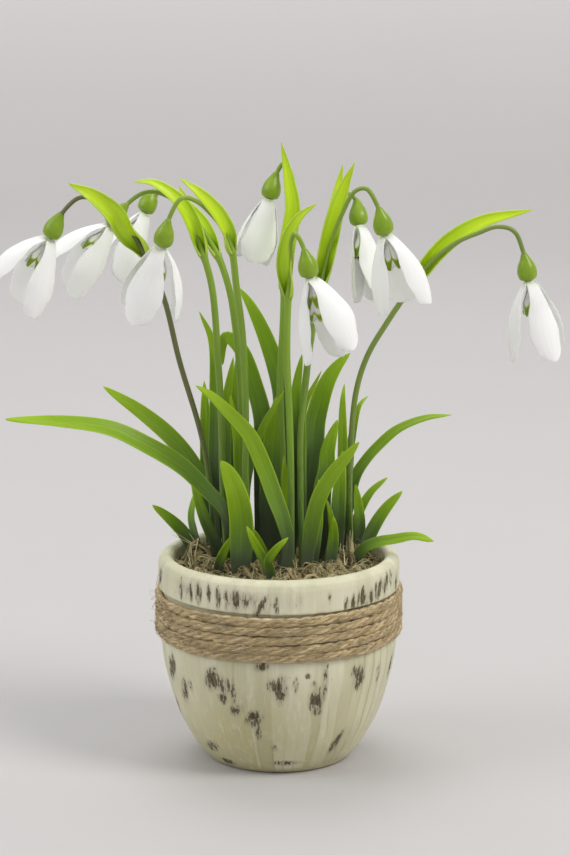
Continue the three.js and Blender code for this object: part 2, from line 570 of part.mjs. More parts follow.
// The spathe is a folded green blade that sheathes the pedicel at its foot.
function makeSpathe(flower) {
  const path = [flower.scape.at(-1), ...flower.spathe].map((point) => standing(point));
  const curve = curveThrough(path);
  const face = direction(flower.face);
  const rings = [];
  for (let step = 0; step <= SPATHE_STEPS; step++) {
    const share = step / SPATHE_STEPS;
    const along = THREE.MathUtils.lerp(SPATHE_FOOT, 1, share);
    const swell = Math.max(Math.sin(Math.PI * along), 0) ** 0.8;
    const width = Math.max(flower.spatheWidth * swell, LEAF_TIP);
    const thickness = SPATHE_THICK * (1 - SPATHE_THINNING * share);
    rings.push(bladeRing(curve.getPointAt(share), curve.getTangentAt(share), face,
      width, thickness, SPATHE_KEEL * (1 - share)));
  }
  return loft(rings);
}

// ---------------------------------------------------------------- blooms

// Where a bloom hangs: just below its ovary, along the ovary's direction. away gives the
// direction out from its axis, in degrees to the right of the side that faces the viewer.
function bloomFrame(flower) {
  const curve = stalkCurve(flower);
  const axis = curve.getTangentAt(1);
  const origin = curve.getPointAt(1).addScaledVector(axis, GAP);
  const front = new THREE.Vector3(0, -1, 0).projectOnPlane(axis).normalize();
  const away = (degrees) => front.clone().applyAxisAngle(axis, -THREE.MathUtils.degToRad(degrees));
  return { axis, origin, away };
}

// A spoon-shaped tepal. It leaves the hub at the opening angle, curves back towards the
// flower's axis, and its section is an arc that is hollow on the side of the axis.
function makeTepal({ axis, origin, away }, turn, opening, length) {
  const out = away(turn);
  const across = axis.clone().cross(out);
  const centre = origin.clone().addScaledVector(axis, TEPAL_DOWN).addScaledVector(out, TEPAL_START);
  const rings = TEPAL_OUTLINE.map(([share, wide], i) => {
    const angle = THREE.MathUtils.degToRad(opening * (1 - TEPAL_TURN_IN * share));
    const along = axis.clone().multiplyScalar(Math.cos(angle)).addScaledVector(out, Math.sin(angle));
    const normal = out.clone().multiplyScalar(Math.cos(angle)).addScaledVector(axis, -Math.sin(angle));
    if (i > 0) centre.addScaledVector(along, length * (share - TEPAL_OUTLINE[i - 1][0]));
    const width = TEPAL_WIDTH * wide;
    const hollow = TEPAL_HOLLOW * width * Math.min(1, share * 3);
    const at = (side, lift) => centre.clone()
      .addScaledVector(across, side * width / 2)
      .addScaledVector(normal, lift - hollow * side * side);
    const top = TEPAL_THICK / 2;
    const sides = [-1, -TEPAL_FLAT, TEPAL_FLAT, 1];
    return [...sides.map((side) => at(side, top)), ...sides.reverse().map((side) => at(side, -top))];
  });
  return loft(rings);
}

function makeBell({ axis, origin, away }, turn) {
  const rings = BELL.map(([down, radius, drop]) => {
    const ring = [];
    for (let side = 0; side < BELL_SIDES; side++) {
      const angle = 360 * side / BELL_SIDES;
      const lobe = drop * Math.cos(3 * THREE.MathUtils.degToRad(angle));
      ring.push(origin.clone().addScaledVector(axis, down + lobe)
        .addScaledVector(away(turn - angle), radius));
    }
    return ring;
  });
  return loft(rings);
}

function makeHub({ axis, origin }) {
  const hub = new THREE.SphereGeometry(HUB_RADIUS, HUB_SIDES, HUB_STEPS);
  hub.rotateX(Math.PI / 2);
  hub.applyQuaternion(new THREE.Quaternion().setFromUnitVectors(new THREE.Vector3(0, 0, 1), axis));
  const centre = origin.clone().addScaledVector(axis, HUB_RADIUS);
  return hub.translate(centre.x, centre.y, centre.z);
}

function makeBloom(flower) {
  const frame = bloomFrame(flower);
  const { turns, spread, length } = flower.tepals;
  const tepals = spread.map((opening, i) => makeTepal(frame, turns[i], opening, length));
  return join([makeHub(frame), makeBell(frame, turns[0] + 60), ...tepals]);
}

// ---------------------------------------------------------------- the whole plant

function mesh(name, geometry, material) {
  const piece = new THREE.Mesh(geometry, material);
  piece.name = name;
  return piece;
}

const number = (i) => String(i + 1).padStart(2, '0');

const feet = [...LEAVES.map(leafFoot), ...FLOWERS.map(stalkFoot)];

const plant = new THREE.Group();
plant.add(mesh('pot', makePot(), COLOURS.pot));
plant.add(mesh('jute_twine', makeTwine(), COLOURS.twine));
plant.add(mesh('soil', makeSoil(feet), COLOURS.soil));
plant.add(mesh('coir_moss', makeCoir(feet), COLOURS.coir));
FLOWERS.forEach((flower, i) => {
  const stem = join([makeStalk(flower), makeSpathe(flower)]);
  plant.add(mesh(`stem_${number(i)}`, stem, COLOURS.stem));
  plant.add(mesh(`bloom_${number(i)}`, makeBloom(flower), COLOURS.bloom));
});
LEAVES.forEach((leaf, i) => {
  plant.add(mesh(`leaf_${number(i)}`, makeLeaf(leaf), COLOURS.leaf));
});

export default plant;
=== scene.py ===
"""Nine snowdrops with strap leaves in a small round pot that is wound with jute twine.

Sizes are in millimetres and repeat the model's own; MM turns them into Blender's metres
where a mesh is made. The pot's foot is centred on the origin and -Y faces the viewer.
"""

import math

import bpy
import numpy as np
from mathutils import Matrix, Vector


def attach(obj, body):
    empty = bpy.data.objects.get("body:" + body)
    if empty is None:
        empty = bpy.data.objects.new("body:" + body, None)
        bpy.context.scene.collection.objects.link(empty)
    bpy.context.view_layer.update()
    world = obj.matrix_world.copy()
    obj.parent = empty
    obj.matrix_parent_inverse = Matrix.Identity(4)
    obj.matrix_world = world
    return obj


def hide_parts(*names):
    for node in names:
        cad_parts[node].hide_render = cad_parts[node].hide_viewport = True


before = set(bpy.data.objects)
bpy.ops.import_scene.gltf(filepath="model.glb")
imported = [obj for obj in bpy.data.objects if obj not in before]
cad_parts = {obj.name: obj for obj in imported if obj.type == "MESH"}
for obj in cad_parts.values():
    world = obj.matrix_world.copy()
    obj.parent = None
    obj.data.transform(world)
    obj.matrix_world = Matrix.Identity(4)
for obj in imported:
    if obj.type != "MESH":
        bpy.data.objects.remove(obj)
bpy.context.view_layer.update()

MM = 0.001

# ---------------------------------------------------------------- sizes, in millimetres

# The pot's outline as (radius, height), up the belly and up the inside.
POT_BELLY = [(26, 0), (30.5, 5), (36.9, 17), (41.4, 32), (43, 41), (43.2, 46)]
POT_INSIDE = [(21, 6), (29, 11), (34.5, 22), (37, 34), (38, 50), (38.4, 66)]
POT_WAIST = 42.4        # radius behind the twine
POT_RIM = 44.2
POT_LIP = 72.5          # height at which the rim begins to turn in
POT_HEIGHT = 76
POT_MOUTH = 39.5
POT_OUTSIDE = 130       # length of the outline from the foot over the rim
POT_AROUND = 640
OUTLINE_STEP = 0.1
OUTLINE_ROUNDING = 0.5  # how far the outline's corners are rounded off

TWINE_TURNS = 5
TWINE_PITCH = 3.4
TWINE_THICK = 2.3
TWINE_TALL = 3.2
TWINE_BOTTOM = 46.6
TWINE_TOP = TWINE_BOTTOM + TWINE_TURNS * TWINE_PITCH
TWINE_CLEAR = 0.45
TWINE_MIDDLE = POT_WAIST + TWINE_CLEAR + TWINE_THICK / 2
TWINE_START = 0.35
TWINE_STEP = 0.95
TWINE_PLIES = 3
TWINE_LAY = 14          # length of twine in which a ply goes round once
PLY_RADIUS = 0.94
PLY_OUT, PLY_UP = 0.42, 0.82    # how far a ply's middle lies from the twine's
TWINE_FIBRES = 2600
TWINE_CURLS = 26

COIR_TOP = 68.5
COIR_LUMP = 1.2
COIR_EDGE = 37.8
COIR_FOOT = 63.3
COIR_RINGS, COIR_AROUND = 84, 260
# The coir's unevenness: size of a cell, number of cells across it, height.
COIR_ROUGH = [(6.5, 14, 1.7), (3, 30, 1), (1.2, 70, 0.7)]
STRAW_THICKEST = 0.8    # anything thicker is a broad dry sheath

ROOT_LEVELS = (56, 64, 70.5)
FAN_HEIGHT = 150
BACK_DROP = 0.21
BACK_SPREAD = 0.001

LEAF_THICK = 0.92
LEAF_KEEL = 0.16
LEAF_STEPS, LEAF_STEPS_PER_MM, LEAF_ACROSS = 30, 0.6, 21
LEAF_DARK = 71          # height up to which every leaf is dark

SCAPE_RADIUS = 1.15
PEDICEL_RADIUS = 0.8
# The ovary as (distance back from its end, radius).
OVARY = [(0, 2.4), (1.2, 3.15), (3.3, 3.5), (5.8, 3), (8, 1.95), (10, 1.05)]
OVARY_LENGTH = OVARY[-1][0]
OVARY_STEPS = 26
STALK_STEP, STALK_AROUND = 1.4, 20
STALK_THINNING = 8      # length over which the scape thins to the pedicel
OLIVE_RANGE = (34, 66)  # distances from the root between which a stalk turns olive

SPATHE_THICK = 0.8
SPATHE_STEPS, SPATHE_ACROSS = 70, 17
# How far the spathe is folded round, in degrees a side, at shares of its length.
SPATHE_FOLD = [0, 0.25, 0.6, 1], [150, 88, 52, 30]

TEPAL_THICK = 0.55
TEPAL_WIDTH = 13.5
TEPAL_HOLLOW = 0.22
TEPAL_DROP, TEPAL_START = 0.3, 1.3      # down from the hub, and out from its middle
TEPAL_TURN_IN = 1.15
TEPAL_OUTLINE = [(0, 0.34), (0.18, 0.5), (0.4, 0.84), (0.62, 1), (0.85, 0.8), (1, 0.28)]
TEPAL_ROUND = 0.8       # share of its length from which the tip is round
TEPAL_STEPS, TEPAL_ACROSS = 46, 23
BLOOM_GAP = 0.3

INNER_LENGTH = 10.6
INNER_THICK = 0.42
INNER_START = 1.4
INNER_REACH = 66        # degrees that an inner tepal goes round to each side
INNER_STEPS, INNER_ACROSS = 30, 25
# The flower with the longer inner tepals, which have two marks each.
TWICE_MARKED, TWICE_MARKED_LENGTH = 6, 14

# The hub that the tepals grow from, as (distance from the ovary, radius).
HUB = [(-0.3, 1.7), (0, 1.9), (0.7, 1.6), (2, 1.35), (3.2, 1.2), (5, 0.8)]
HUB_AROUND = 24

LEAF_SEED, SPATHE_SEED, BLOOM_SEED = 400, 900, 1100
POT_SEED, TWINE_SEED, COIR_SEED = 31, 57, 83

# ---------------------------------------------------------------- stage, in metres

FLOOR_FLAT, FLOOR_BEND = 1.4, 1.2       # where the bend of the floor begins, its radius
FLOOR_AROUND = 96
FLOOR_DROP = 0.0002     # how far the floor lies under the pot's foot

# The lights as (name, place, aim, size, power, colour), and how strong the room's light is.
LIGHTS = [
    ("key", (1.4, -0.75, 1.6), (0, 0, 0.12), 0.9, 26.3, (1, 0.985, 0.96)),
    ("fill", (-1.5, -0.3, 1.1), (0, 0, 0.12), 1.2, 10.7, (0.96, 0.98, 1)),
    ("top", (-0.2, 0.9, 2.0), (0, 0.6, 0.0), 1.4, 16.6, (1, 1, 1)),
]
WORLD = 0.552

CAMERA_PLACE = (0.0023, -1.0, 0.3321)
CAMERA_DOWN = 11.84     # degrees below level
CAMERA_LENS = 118.5

# ---------------------------------------------------------------- tables, in millimetres

# Leaves: width across the middle, how far the tip leans back, where the upper side looks
# (degrees right of the viewer, degrees up), the root's place, and the path to the tip.
LEAVES = [
    (7.6, -14, (0, 50), (-15, 2), [(-16.5, 1, 81), (-20, -1, 91.5), (-27, -3, 100),
        (-35.5, -5, 109), (-46.5, -7, 116.5), (-60.5, -8, 123.5), (-78.5, -9, 126.5),
        (-98, -10, 127.5)]),
    (7, 14, (-10, 40), (-23, 12), [(-24.5, 12, 85), (-26.5, 11, 94), (-31, 10, 104.5),
        (-38, 9, 115), (-49, 8, 125.5), (-64, 7, 136.5)]),
    (6.2, -12, (0, 30), (2, -12), [(3.5, -13, 82), (1.5, -14, 91.5), (-1, -14, 98.5),
        (-5, -14, 110), (-10.5, -14, 122.5), (-17, -14, 130), (-24.5, -13, 137),
        (-29.5, -12, 140)]),
    (9, -8, (10, 15), (-14, -14), [(-13.5, -15, 88), (-14, -16, 95.5), (-15.5, -17, 103),
        (-18, -17, 109.5), (-20.5, -17, 114)]),
    (5, 4, (-20, 40), (-31, 13), [(-32, 13, 74.5), (-35.5, 12, 80.5), (-41, 10, 86.5),
        (-46.5, 8, 91.5)]),
    (4.5, 3, (0, 20), (-20.5, 7), [(-24, 6, 79), (-27, 5, 86.5), (-30, 5, 96), (-32, 5, 102.5)]),
    (4, 6, (-40, 10), (-29.5, 19), [(-31.5, 19, 79), (-32.5, 19, 84), (-32, 18, 89.5),
        (-30.5, 17, 95)]),
    (3.5, -5, (0, 10), (-22, -8), [(-21.5, -8.5, 74), (-20, -9, 78), (-16, -10, 85.5)]),
    (3.5, -6, (20, 10), (-4, -15), [(-4.5, -15.5, 74), (-6, -16, 78), (-9, -17, 84.5),
        (-11.5, -17, 90)]),
    (3.5, -3, (20, 10), (-4, -8), [(-4.5, -8, 74.5), (-6, -8, 79), (-9, -8, 86.5)]),
    (3.5, -5, (-10, 20), (-2.5, -20), [(-3, -20.5, 74), (-3.5, -21, 78), (-0.5, -22, 83),
        (3.5, -22, 87)]),
    (3.5, -5, (0, 5), (0.5, -3), [(3.5, -3, 81), (3.5, -2, 92), (2.5, -1, 99.5), (2, -1, 112)]),
    (6, -12, (0, 20), (9.5, -11), [(11, -12, 81.5), (12.5, -13, 91), (15, -14, 100.5),
        (19.5, -14, 108.5), (25, -14, 115.5), (29, -13, 120)]),
    (3.5, 0, (10, 5), (12.5, -3), [(13.5, -4, 79.5), (14.5, -4, 89), (14.5, -4, 104)]),
    (4.4, 14, (0, 55), (24, 21.5), [(26.5, 22, 89), (28.5, 21, 99), (32.5, 20, 106),
        (37.5, 19, 112), (44, 18, 118), (54, 17, 122.5), (64, 16, 124)]),
    (5, -8, (0, 45), (28, 3), [(29.5, 2.5, 74), (32, 1.5, 77), (36.5, 0, 79.5), (42.5, -1, 81),
        (50, -2, 82.5), (56.5, -3, 81)]),
    (5, 6, (10, 30), (31.5, 12), [(33, 12, 77.5), (36.5, 11, 85), (40.5, 10, 91),
        (45.5, 9, 96.5)]),
    (4.5, 1, (10, 5), (30, 19), [(30, 19, 76), (30, 19, 84), (28.5, 19, 97)]),
    (3.6, 8, (0, 30), (26, 24), [(28, 23.5, 79), (31, 24, 87), (34.5, 23.5, 93),
        (40.5, 23, 98.5)]),
    (8.4, 10, (0, 10), (10, 14), [(10, 14, 84.5), (11, 14, 99.5), (12.5, 14, 111),
        (13.5, 14, 122.5), (17.5, 12, 136.5), (21.5, 11, 143.5), (26, 10, 148.5)]),
    (4, 4, (0, 5), (22, 11), [(23, 11, 93), (23.5, 11, 108), (23.5, 11, 130.5), (24, 11, 136.5)]),
    (7, 2, (0, 10), (16, 9), [(16, 9, 97), (17.5, 9, 104.5), (18, 9, 112), (21.5, 9, 123.5)]),
    (5.5, 0, (0, 0), (20.5, 6.5), [(21.5, 6.5, 80), (22, 6.5, 94), (23.5, 6.5, 112.5)]),
    (3.5, 8, (0, 20), (21.5, 25.5), [(23.5, 25.5, 82), (26, 23, 101.5), (27, 22, 113),
        (30, 20, 127), (33, 19, 130.5)]),
    (7.4, 12, (0, 15), (0, 15), [(1.5, 15, 107), (1.5, 15, 122), (1, 15, 133.5), (-4, 14, 151.5),
        (-10.5, 12, 166.5), (-14.5, 11, 173)]),
    (4.5, 12, (0, 10), (-19, 16), [(-23.5, 16, 99), (-23.5, 16, 129.5), (-24.5, 16, 152),
        (-29, 14, 163.5)]),
    (7, 8, (0, 20), (-7, 13), [(-6, 13, 103.5), (-6, 13, 123), (-8.5, 13, 134),
        (-14, 12.5, 149.5), (-19, 12, 154), (-20.5, 12, 151.5), (-20.5, 12, 143.5)]),
    (4.5, 0, (0, 5), (-16, 8), [(-19.5, 8, 101), (-19.5, 8, 116), (-19, 8, 131),
        (-16.5, 8, 147)]),
    (5, 6, (0, 5), (-12, 16), [(-16, 16, 107), (-16, 16, 122), (-15.5, 15, 146)]),
    (4, -6, (0, 10), (-9, -1), [(-14.3, -0.4, 107), (-15, -0.6, 118), (-17.5, -1, 134.5)]),
    (5, 10, (0, 5), (-25, 19), [(-26.5, 19, 91.5), (-27, 19, 114.5), (-27.5, 18, 136.5)]),
    (3.5, -4, (-20, 10), (-8, 5), [(-12, 5, 94), (-10.5, 4, 107.5), (-7.5, 2, 117.5),
        (-4, 0, 126), (2, -1, 136)]),
    (8.8, 0, (0, 5), (-3, 9), [(-3, 9, 93.5), (-2.5, 9, 104.5), (-2, 9, 116), (-0.5, 9, 132.5)]),
    (5.2, 8, (0, 5), (5, 18), [(6.5, 18, 99.5), (6.5, 18, 122), (6.5, 17, 133.5),
        (8.5, 16, 147)]),
    (3.2, -4, (0, 5), (9, 2), [(8.5, 2, 102.5), (8.5, 2, 117.5), (9, 2, 128.5), (15.5, 2, 143)]),
    (4.5, -1, (10, 5), (18.5, 0), [(19.6, 0, 77), (20, 0, 83), (20, -1, 89.5)]),
    (3, 0, (10, 5), (17, 4), [(19.5, 3.5, 81), (19, 3, 89), (17.5, 3, 95)]),
    (6, 0, (0, 50), (7, 24), [(7.5, 26, 86), (8.5, 30, 98), (10, 36, 106), (12, 44, 108.5),
        (14, 53, 105)]),
]

# Flowers: the stalk's root, the scape up to the spathe's foot, the pedicel to the end of the
# ovary, the spathe with its width and the way it looks, the outer tepals (the ways they lie,
# in degrees right of the viewer, how far they open, and their length), then how stout and how
# olive the stalk is.
FLOWERS = [
    dict(root=(-24, 8), scape=[(-25, 8, 95), (-28, 6, 117), (-36, 2, 147), (-41, -3, 170),
        (-47.5, -8, 187)], pedicel=[(-54, -10, 197), (-59, -11, 202), (-64, -11, 206),
        (-70, -12, 207), (-76, -12, 202), (-81, -12, 193)], spathe=[(-53, -10.5, 195),
        (-57, -12, 201), (-65, -13, 207.5), (-74, -14, 212)], spathe_width=7.5, face=(-30, 20),
        turns=(50, 170, 290), spread=(44, 30, 62), length=29, stout=0.85, olive=0.95),
    dict(root=(-19, 4), scape=[(-20.5, 4, 100), (-21, 4, 128), (-22, 4, 147), (-24, 4, 173),
        (-27, 4, 185)], pedicel=[(-31, 4, 196), (-36, 3, 204), (-43, 2, 208), (-48, 2, 208),
        (-54, 2, 204), (-60.5, 2, 196)], spathe=[(-31, 3, 197), (-36, 2, 205), (-45, 1, 211.5),
        (-52, 0, 212)], spathe_width=5.5, face=(0, 30), turns=(42, 162, 282), spread=(36, 34, 52),
        length=29, stout=1.06, olive=0.2),
    dict(root=(-13, 10), scape=[(-13.5, 10, 100), (-14, 9, 138), (-16, 9, 160), (-18, 10, 172),
        (-22, 11, 184)], pedicel=[(-29, 13, 196), (-35, 15, 204), (-40, 17, 207.5),
        (-45, 18, 207), (-49, 18, 199.5)], spathe=[(-28, 13, 196), (-33, 13, 203),
        (-36, 13, 210)], spathe_width=5, face=(20, 10), turns=(30, 150, 270), spread=(34, 32, 36),
        length=27, stout=1.06, olive=0.1),
    dict(root=(-11, -4), scape=[(-12, -4, 110), (-12, -4, 133), (-13, -6, 158), (-15, -8, 175),
        (-16.5, -10, 188)], pedicel=[(-19, -12, 195), (-23, -13, 200.5), (-29, -15, 206),
        (-34, -17, 207), (-38, -18, 201), (-41, -18, 190.5)], spathe=[(-18, -12, 194),
        (-22, -13, 202), (-29, -14, 209.5), (-35, -14, 214)], spathe_width=5.5, face=(30, 20),
        turns=(340, 100, 220), spread=(28, 52, 46), length=29, stout=1.08, olive=0.1),
    dict(root=(3, 4), scape=[(1.5, 3, 110), (0.5, 2, 140), (1.5, 2, 158), (2, 2, 173)],
        pedicel=[(2.5, 3, 187), (5, 6, 203), (5, 9, 213), (2, 11, 218.5), (-1, 12, 214),
        (-3.5, 12, 205)], spathe=[(3, 1, 188), (5, 0, 202), (4, 0, 211), (1, 0, 226)],
        spathe_width=6, face=(0, 5), turns=(5, 125, 245), spread=(26, 32, 36), length=24,
        stout=1.06, olive=0),
    dict(root=(4.5, -7), scape=[(4.5, -7, 100), (4, -7, 126), (3, -8, 151), (3.5, -10, 172)],
        pedicel=[(4.5, -13, 184), (4.5, -16, 192), (6, -18.5, 195), (8.5, -19, 191),
        (11.2, -20, 180)], spathe=[(2.5, -12, 184), (4, -14, 194), (8, -15, 201),
        (13.5, -15, 205)], spathe_width=5.5, face=(-20, 10), turns=(38, 134, 278),
        spread=(66, 20, 32), length=31, stout=1.06, olive=0),
    dict(root=(9, 7), scape=[(9, 8, 110), (9, 8, 131), (13, 8, 161), (16, 8, 177)],
        pedicel=[(19, 9, 190), (22, 12, 202), (24.5, 14, 207), (27.7, 15, 205), (29.2, 14, 195)],
        spathe=[(18, 7, 190), (20.5, 7, 205), (23, 7, 218)], spathe_width=5, face=(0, 5),
        turns=(48, 150, 255), spread=(30, 30, 20), length=28, stout=1, olive=0.15),
    dict(root=(8.5, -3), scape=[(8, -3, 100), (8, -3, 122), (10, -4, 141), (12, -5, 161),
        (15, -5, 175)], pedicel=[(18.5, -7, 190), (22.5, -9, 201), (27, -10, 209), (31, -11, 210),
        (35, -12, 204), (37.8, -12, 194)], spathe=[(17.5, -6, 188), (20, -6, 200),
        (23.5, -6, 211), (27, -6, 219)], spathe_width=6.5, face=(0, 5), turns=(62, 172, 290),
        spread=(46, 34, 40), length=29, stout=0.95, olive=0.2),
    dict(root=(26.5, 9), scape=[(26.5, 8, 79), (26, 3, 91), (26, -2, 112), (28, -2, 136),
        (32, -1, 149), (39, 0, 161), (47, 0, 173)], pedicel=[(54, -1, 182.5), (63, -2, 190),
        (72, -2, 194), (78, -2, 196), (84, -2, 194.5), (87.5, -2, 187), (89.6, -2, 176.5)],
        spathe=[(55, 0, 184), (62, 0, 191), (73, 0, 197.5), (91, 0, 202)], spathe_width=6,
        face=(0, 20), turns=(38, 140, 276), spread=(26, 42, 46), length=30, stout=0.88,
        olive=0.5),
]

# Worn places on the pot: degrees right of the viewer, height, half width, half height,
# how strong, and how far it slants to the right over its height.
WORN = [
    (-52, 69, 1.1, 3.0, 0.7, 0), (-40, 69, 1.3, 3.2, 0.9, 0), (-34, 70, 0.8, 2.8, 0.8, 0),
    (-29, 68.5, 1.0, 3.4, 0.9, 0), (-20, 68.5, 1.2, 3.4, 1, 0), (-15, 69, 2.0, 3, 0.55, 0),
    (-11, 69.5, 1.2, 2.4, 0.45, 0), (-8, 67, 1.2, 3, 1, 1.4), (-1, 67.5, 0.8, 3, 0.75, 0),
    (10, 69, 0.7, 2.4, 0.35, 0), (24, 69, 0.8, 2.4, 0.4, 0), (33, 66.5, 0.9, 2.4, 0.8, 0),
    (37, 66.5, 0.9, 2.6, 0.9, 0), (43, 67.5, 1.1, 3, 1, 0), (49, 67, 1.2, 2.6, 0.9, 0),
    (55, 69, 1.3, 3, 0.9, 0.5), (61, 69.5, 1.3, 3, 0.85, 0.5), (66, 71, 1.0, 2.6, 0.7, 0),
    (-50, 69, 4.5, 3, 0.3, 0), (-19, 69, 4.5, 3.2, 0.3, 0), (-8, 68, 4, 3, 0.3, 0),
    (46, 67.5, 4.5, 3, 0.26, 0), (59, 69.5, 5, 3, 0.32, 0.5), (8, 68.5, 5, 3, 0.2, 0),
    (-45, 69, 0.8, 3, 0.8, 0), (-25, 69, 0.7, 3, 0.7, 0), (40, 67, 0.7, 2.8, 0.8, 0),
    (52, 68.5, 0.8, 3, 0.85, 0), (-66, 37, 2.2, 5, 0.9, 2), (-56, 30, 1.6, 5, 0.75, 1.4),
    (-50, 33, 1.2, 3, 0.5, 0),
    (-34, 38, 2.2, 4.2, 1, 0.8), (-27, 36, 1.6, 3.6, 0.9, 0), (-29, 31, 1.4, 2, 0.8, 0),
    (-22, 27, 1.9, 2.6, 0.7, 0.8), (-23, 33, 0.8, 6, 0.7, 0.5), (-13, 24, 2.2, 3.2, 1, 0.6),
    (-11, 19, 0.9, 3.4, 0.7, 0.2), (-8, 45, 1.8, 1.8, 0.8, 0.6), (1, 36, 1.8, 5, 1, 0.4),
    (-3, 38, 1.6, 2.6, 0.7, 0), (8, 38, 0.9, 3.4, 0.5, 0), (14, 41, 0.8, 1.2, 0.7, 0),
    (19, 31, 1.8, 5.2, 1, -0.4), (17, 37, 0.9, 2, 0.6, 0), (23, 38, 0.8, 7.4, 0.7, 0),
    (43, 37, 1.8, 4.4, 1, 0.4), (39, 40, 1.0, 2.4, 0.6, 0), (58, 37, 1.0, 4, 0.5, 0),
    (37, 12, 1.2, 5, 0.75, 1.6), (-47, 9, 2.4, 2.6, 0.7, 1), (-40, 3, 2.6, 1.6, 0.7, 0),
    (4, 5, 4.2, 1.1, 0.75, 0), (-3, 12, 1.0, 1.6, 0.5, 0),
]

# Clumps that heap up the coir: middle (x, y), radius, height.
CLUMPS = [
    (-30, 7, 6, 7), (-33, 20, 5, 5), (-25, 15, 4.5, 3), (-26, -3, 5, 4.4),
    (-11, -14, 5.5, 3.8), (-6, -9, 4, 2.4), (3, -14, 4.5, 3.2), (12, -12, 4.5, 3.4),
    (20, -7, 5, 4), (25, 5, 5, 4.4), (30, 14, 4.5, 3.8), (29, 26, 5, 4), (-19, 26, 5, 3.4),
    (-3, 30, 5.5, 3.6), (13, 30, 5, 3), (-28, -17, 5, 3), (24, -22, 5.5, 3), (0, -29, 5, 2.6),
    (-14, -27, 5, 2.8), (12, -28, 4.5, 2.6),
]

# Straws that stand out of the coir: foot (x, y), direction in degrees from +X, length,
# lift, and thickness.
STRAWS = [
    (-4.5, -14, 95, 9, 62, 0.4), (-3, -13, 125, 7, 50, 0.35), (3.2, -9, 100, 13, 68, 0.35),
    (7, -13, 80, 11, 62, 0.45), (9, -13, 45, 9, 50, 0.4), (12, -14, 30, 9, 45, 0.35),
    (-31, -4, 150, 12, 35, 0.4), (-20, -12, 200, 12, 25, 0.4), (15, -16, 30, 13, 30, 0.4),
    (24, -6, 60, 14, 42, 0.45), (22, 2, 100, 13, 55, 0.5), (28, 8, 70, 12, 55, 0.5),
    (30, 15, 20, 12, 45, 0.45), (8, 26, 100, 16, 30, 0.4), (-12, 24, 60, 15, 40, 0.4),
    (-29, 8, 170, 13, 35, 0.4), (-33, 15, 120, 11, 45, 0.4), (20, 24, 80, 12, 45, 0.4),
    (-24, -22, 230, 12, 30, 0.4), (4, -31, 280, 12, 30, 0.4), (28, -20, 330, 12, 30, 0.4),
]

# Dry sheaths and husks round the foot of the stalk at the right, as straws.
SHEATHS = [
    (25.2, 7.4, 95, 24, 88, 0.9), (27.4, 7.4, 100, 20, 87, 0.95), (26.4, 6.8, 260, 14, 80, 0.8),
    (28, 10, 20, 14, 74, 0.8),
]

# The coir's chips and fibres, layer by layer: how many, how far out they reach, their
# lengths, half their thickness, how high they arch, how flat they are, and their tints.
CHIPS = [
    (330, 35, (4, 13), (0.7, 1.7), (0.4, 2.2), 0.26, (0, 0.85)),
    (160, 36, (6, 16), (0.4, 0.9), (0.6, 2.4), 0.4, (0.2, 1)),
]
FIBRES = [
    (1500, 37, (6, 20), (0.07, 0.2), (0.3, 3.0), 1.0, (0.1, 0.95)),
    (420, 36.5, (5, 15), (0.14, 0.34), (0.3, 2.6), 0.7, (0.3, 1)),
]


# ---------------------------------------------------------------- curves and noise

def unit(vectors):
    return vectors / np.linalg.norm(vectors, axis=-1, keepdims=True)


def smoothstep(x, low, high):
    t = np.clip((x - low) / (high - low), 0, 1)
    return t * t * (3 - 2 * t)


def turned(vectors, axis, angle):
    """Vectors turned about a unit axis by an angle in radians."""
    angle = np.asarray(angle)[..., None]
    return (vectors * np.cos(angle) + np.cross(axis, vectors) * np.sin(angle)
            + axis * (vectors * axis).sum(-1, keepdims=True) * (1 - np.cos(angle)))


def smooth_curve(points, per_span=40):
    """Points along the centripetal Catmull-Rom curve through points."""
    points = np.asarray(points, float)
    ends = [2 * points[0] - points[1]], [2 * points[-1] - points[-2]]
    points = np.concatenate([ends[0], points, ends[1]])
    t = np.linspace(0, 1, per_span, endpoint=False)[:, None]
    spans = []
    for a, b, c, d in zip(points, points[1:], points[2:], points[3:]):
        ab, bc, cd = (math.sqrt(np.linalg.norm(q - p)) for p, q in ((a, b), (b, c), (c, d)))
        start = bc * ((b - a) / ab - (c - a) / (ab + bc)) + (c - b)
        end = bc * ((d - c) / cd - (d - b) / (bc + cd)) + (c - b)
        spans.append(b + t * start + t**2 * (3 * (c - b) - 2 * start - end)
                     + t**3 * (2 * (b - c) + start + end))
    return np.concatenate(spans + [points[-2:-1]])


class Path:
    """A smooth curve that is asked for its points by their share of its length."""

    def __init__(self, points):
        self.points = smooth_curve(points)
        steps = np.linalg.norm(np.diff(self.points, axis=0), axis=1)
        self.reach = np.concatenate([[0], np.cumsum(steps)])
        self.length = self.reach[-1]

    def at(self, share):
        reach = np.clip(share, 0, 1) * self.length
        return np.stack([np.interp(reach, self.reach, axis) for axis in self.points.T], -1)

    def tangent(self, share):
        step = 0.8 / self.length
        return unit(self.at(np.minimum(share + step, 1)) - self.at(np.maximum(share - step, 0)))


def all_round(count):
    return np.linspace(0, 2 * math.pi, count, endpoint=False)


def thinned(side, share=0.97):
    """How thick a blade is over its width, with side from -1 to 1."""
    return np.sqrt(1 - share * np.abs(side) ** 5)


def table_curve(table, x):
    """A smooth curve through a table of (x, value), read at x."""
    fine = smooth_curve(table)
    return np.interp(x, fine[:, 0], fine[:, 1])


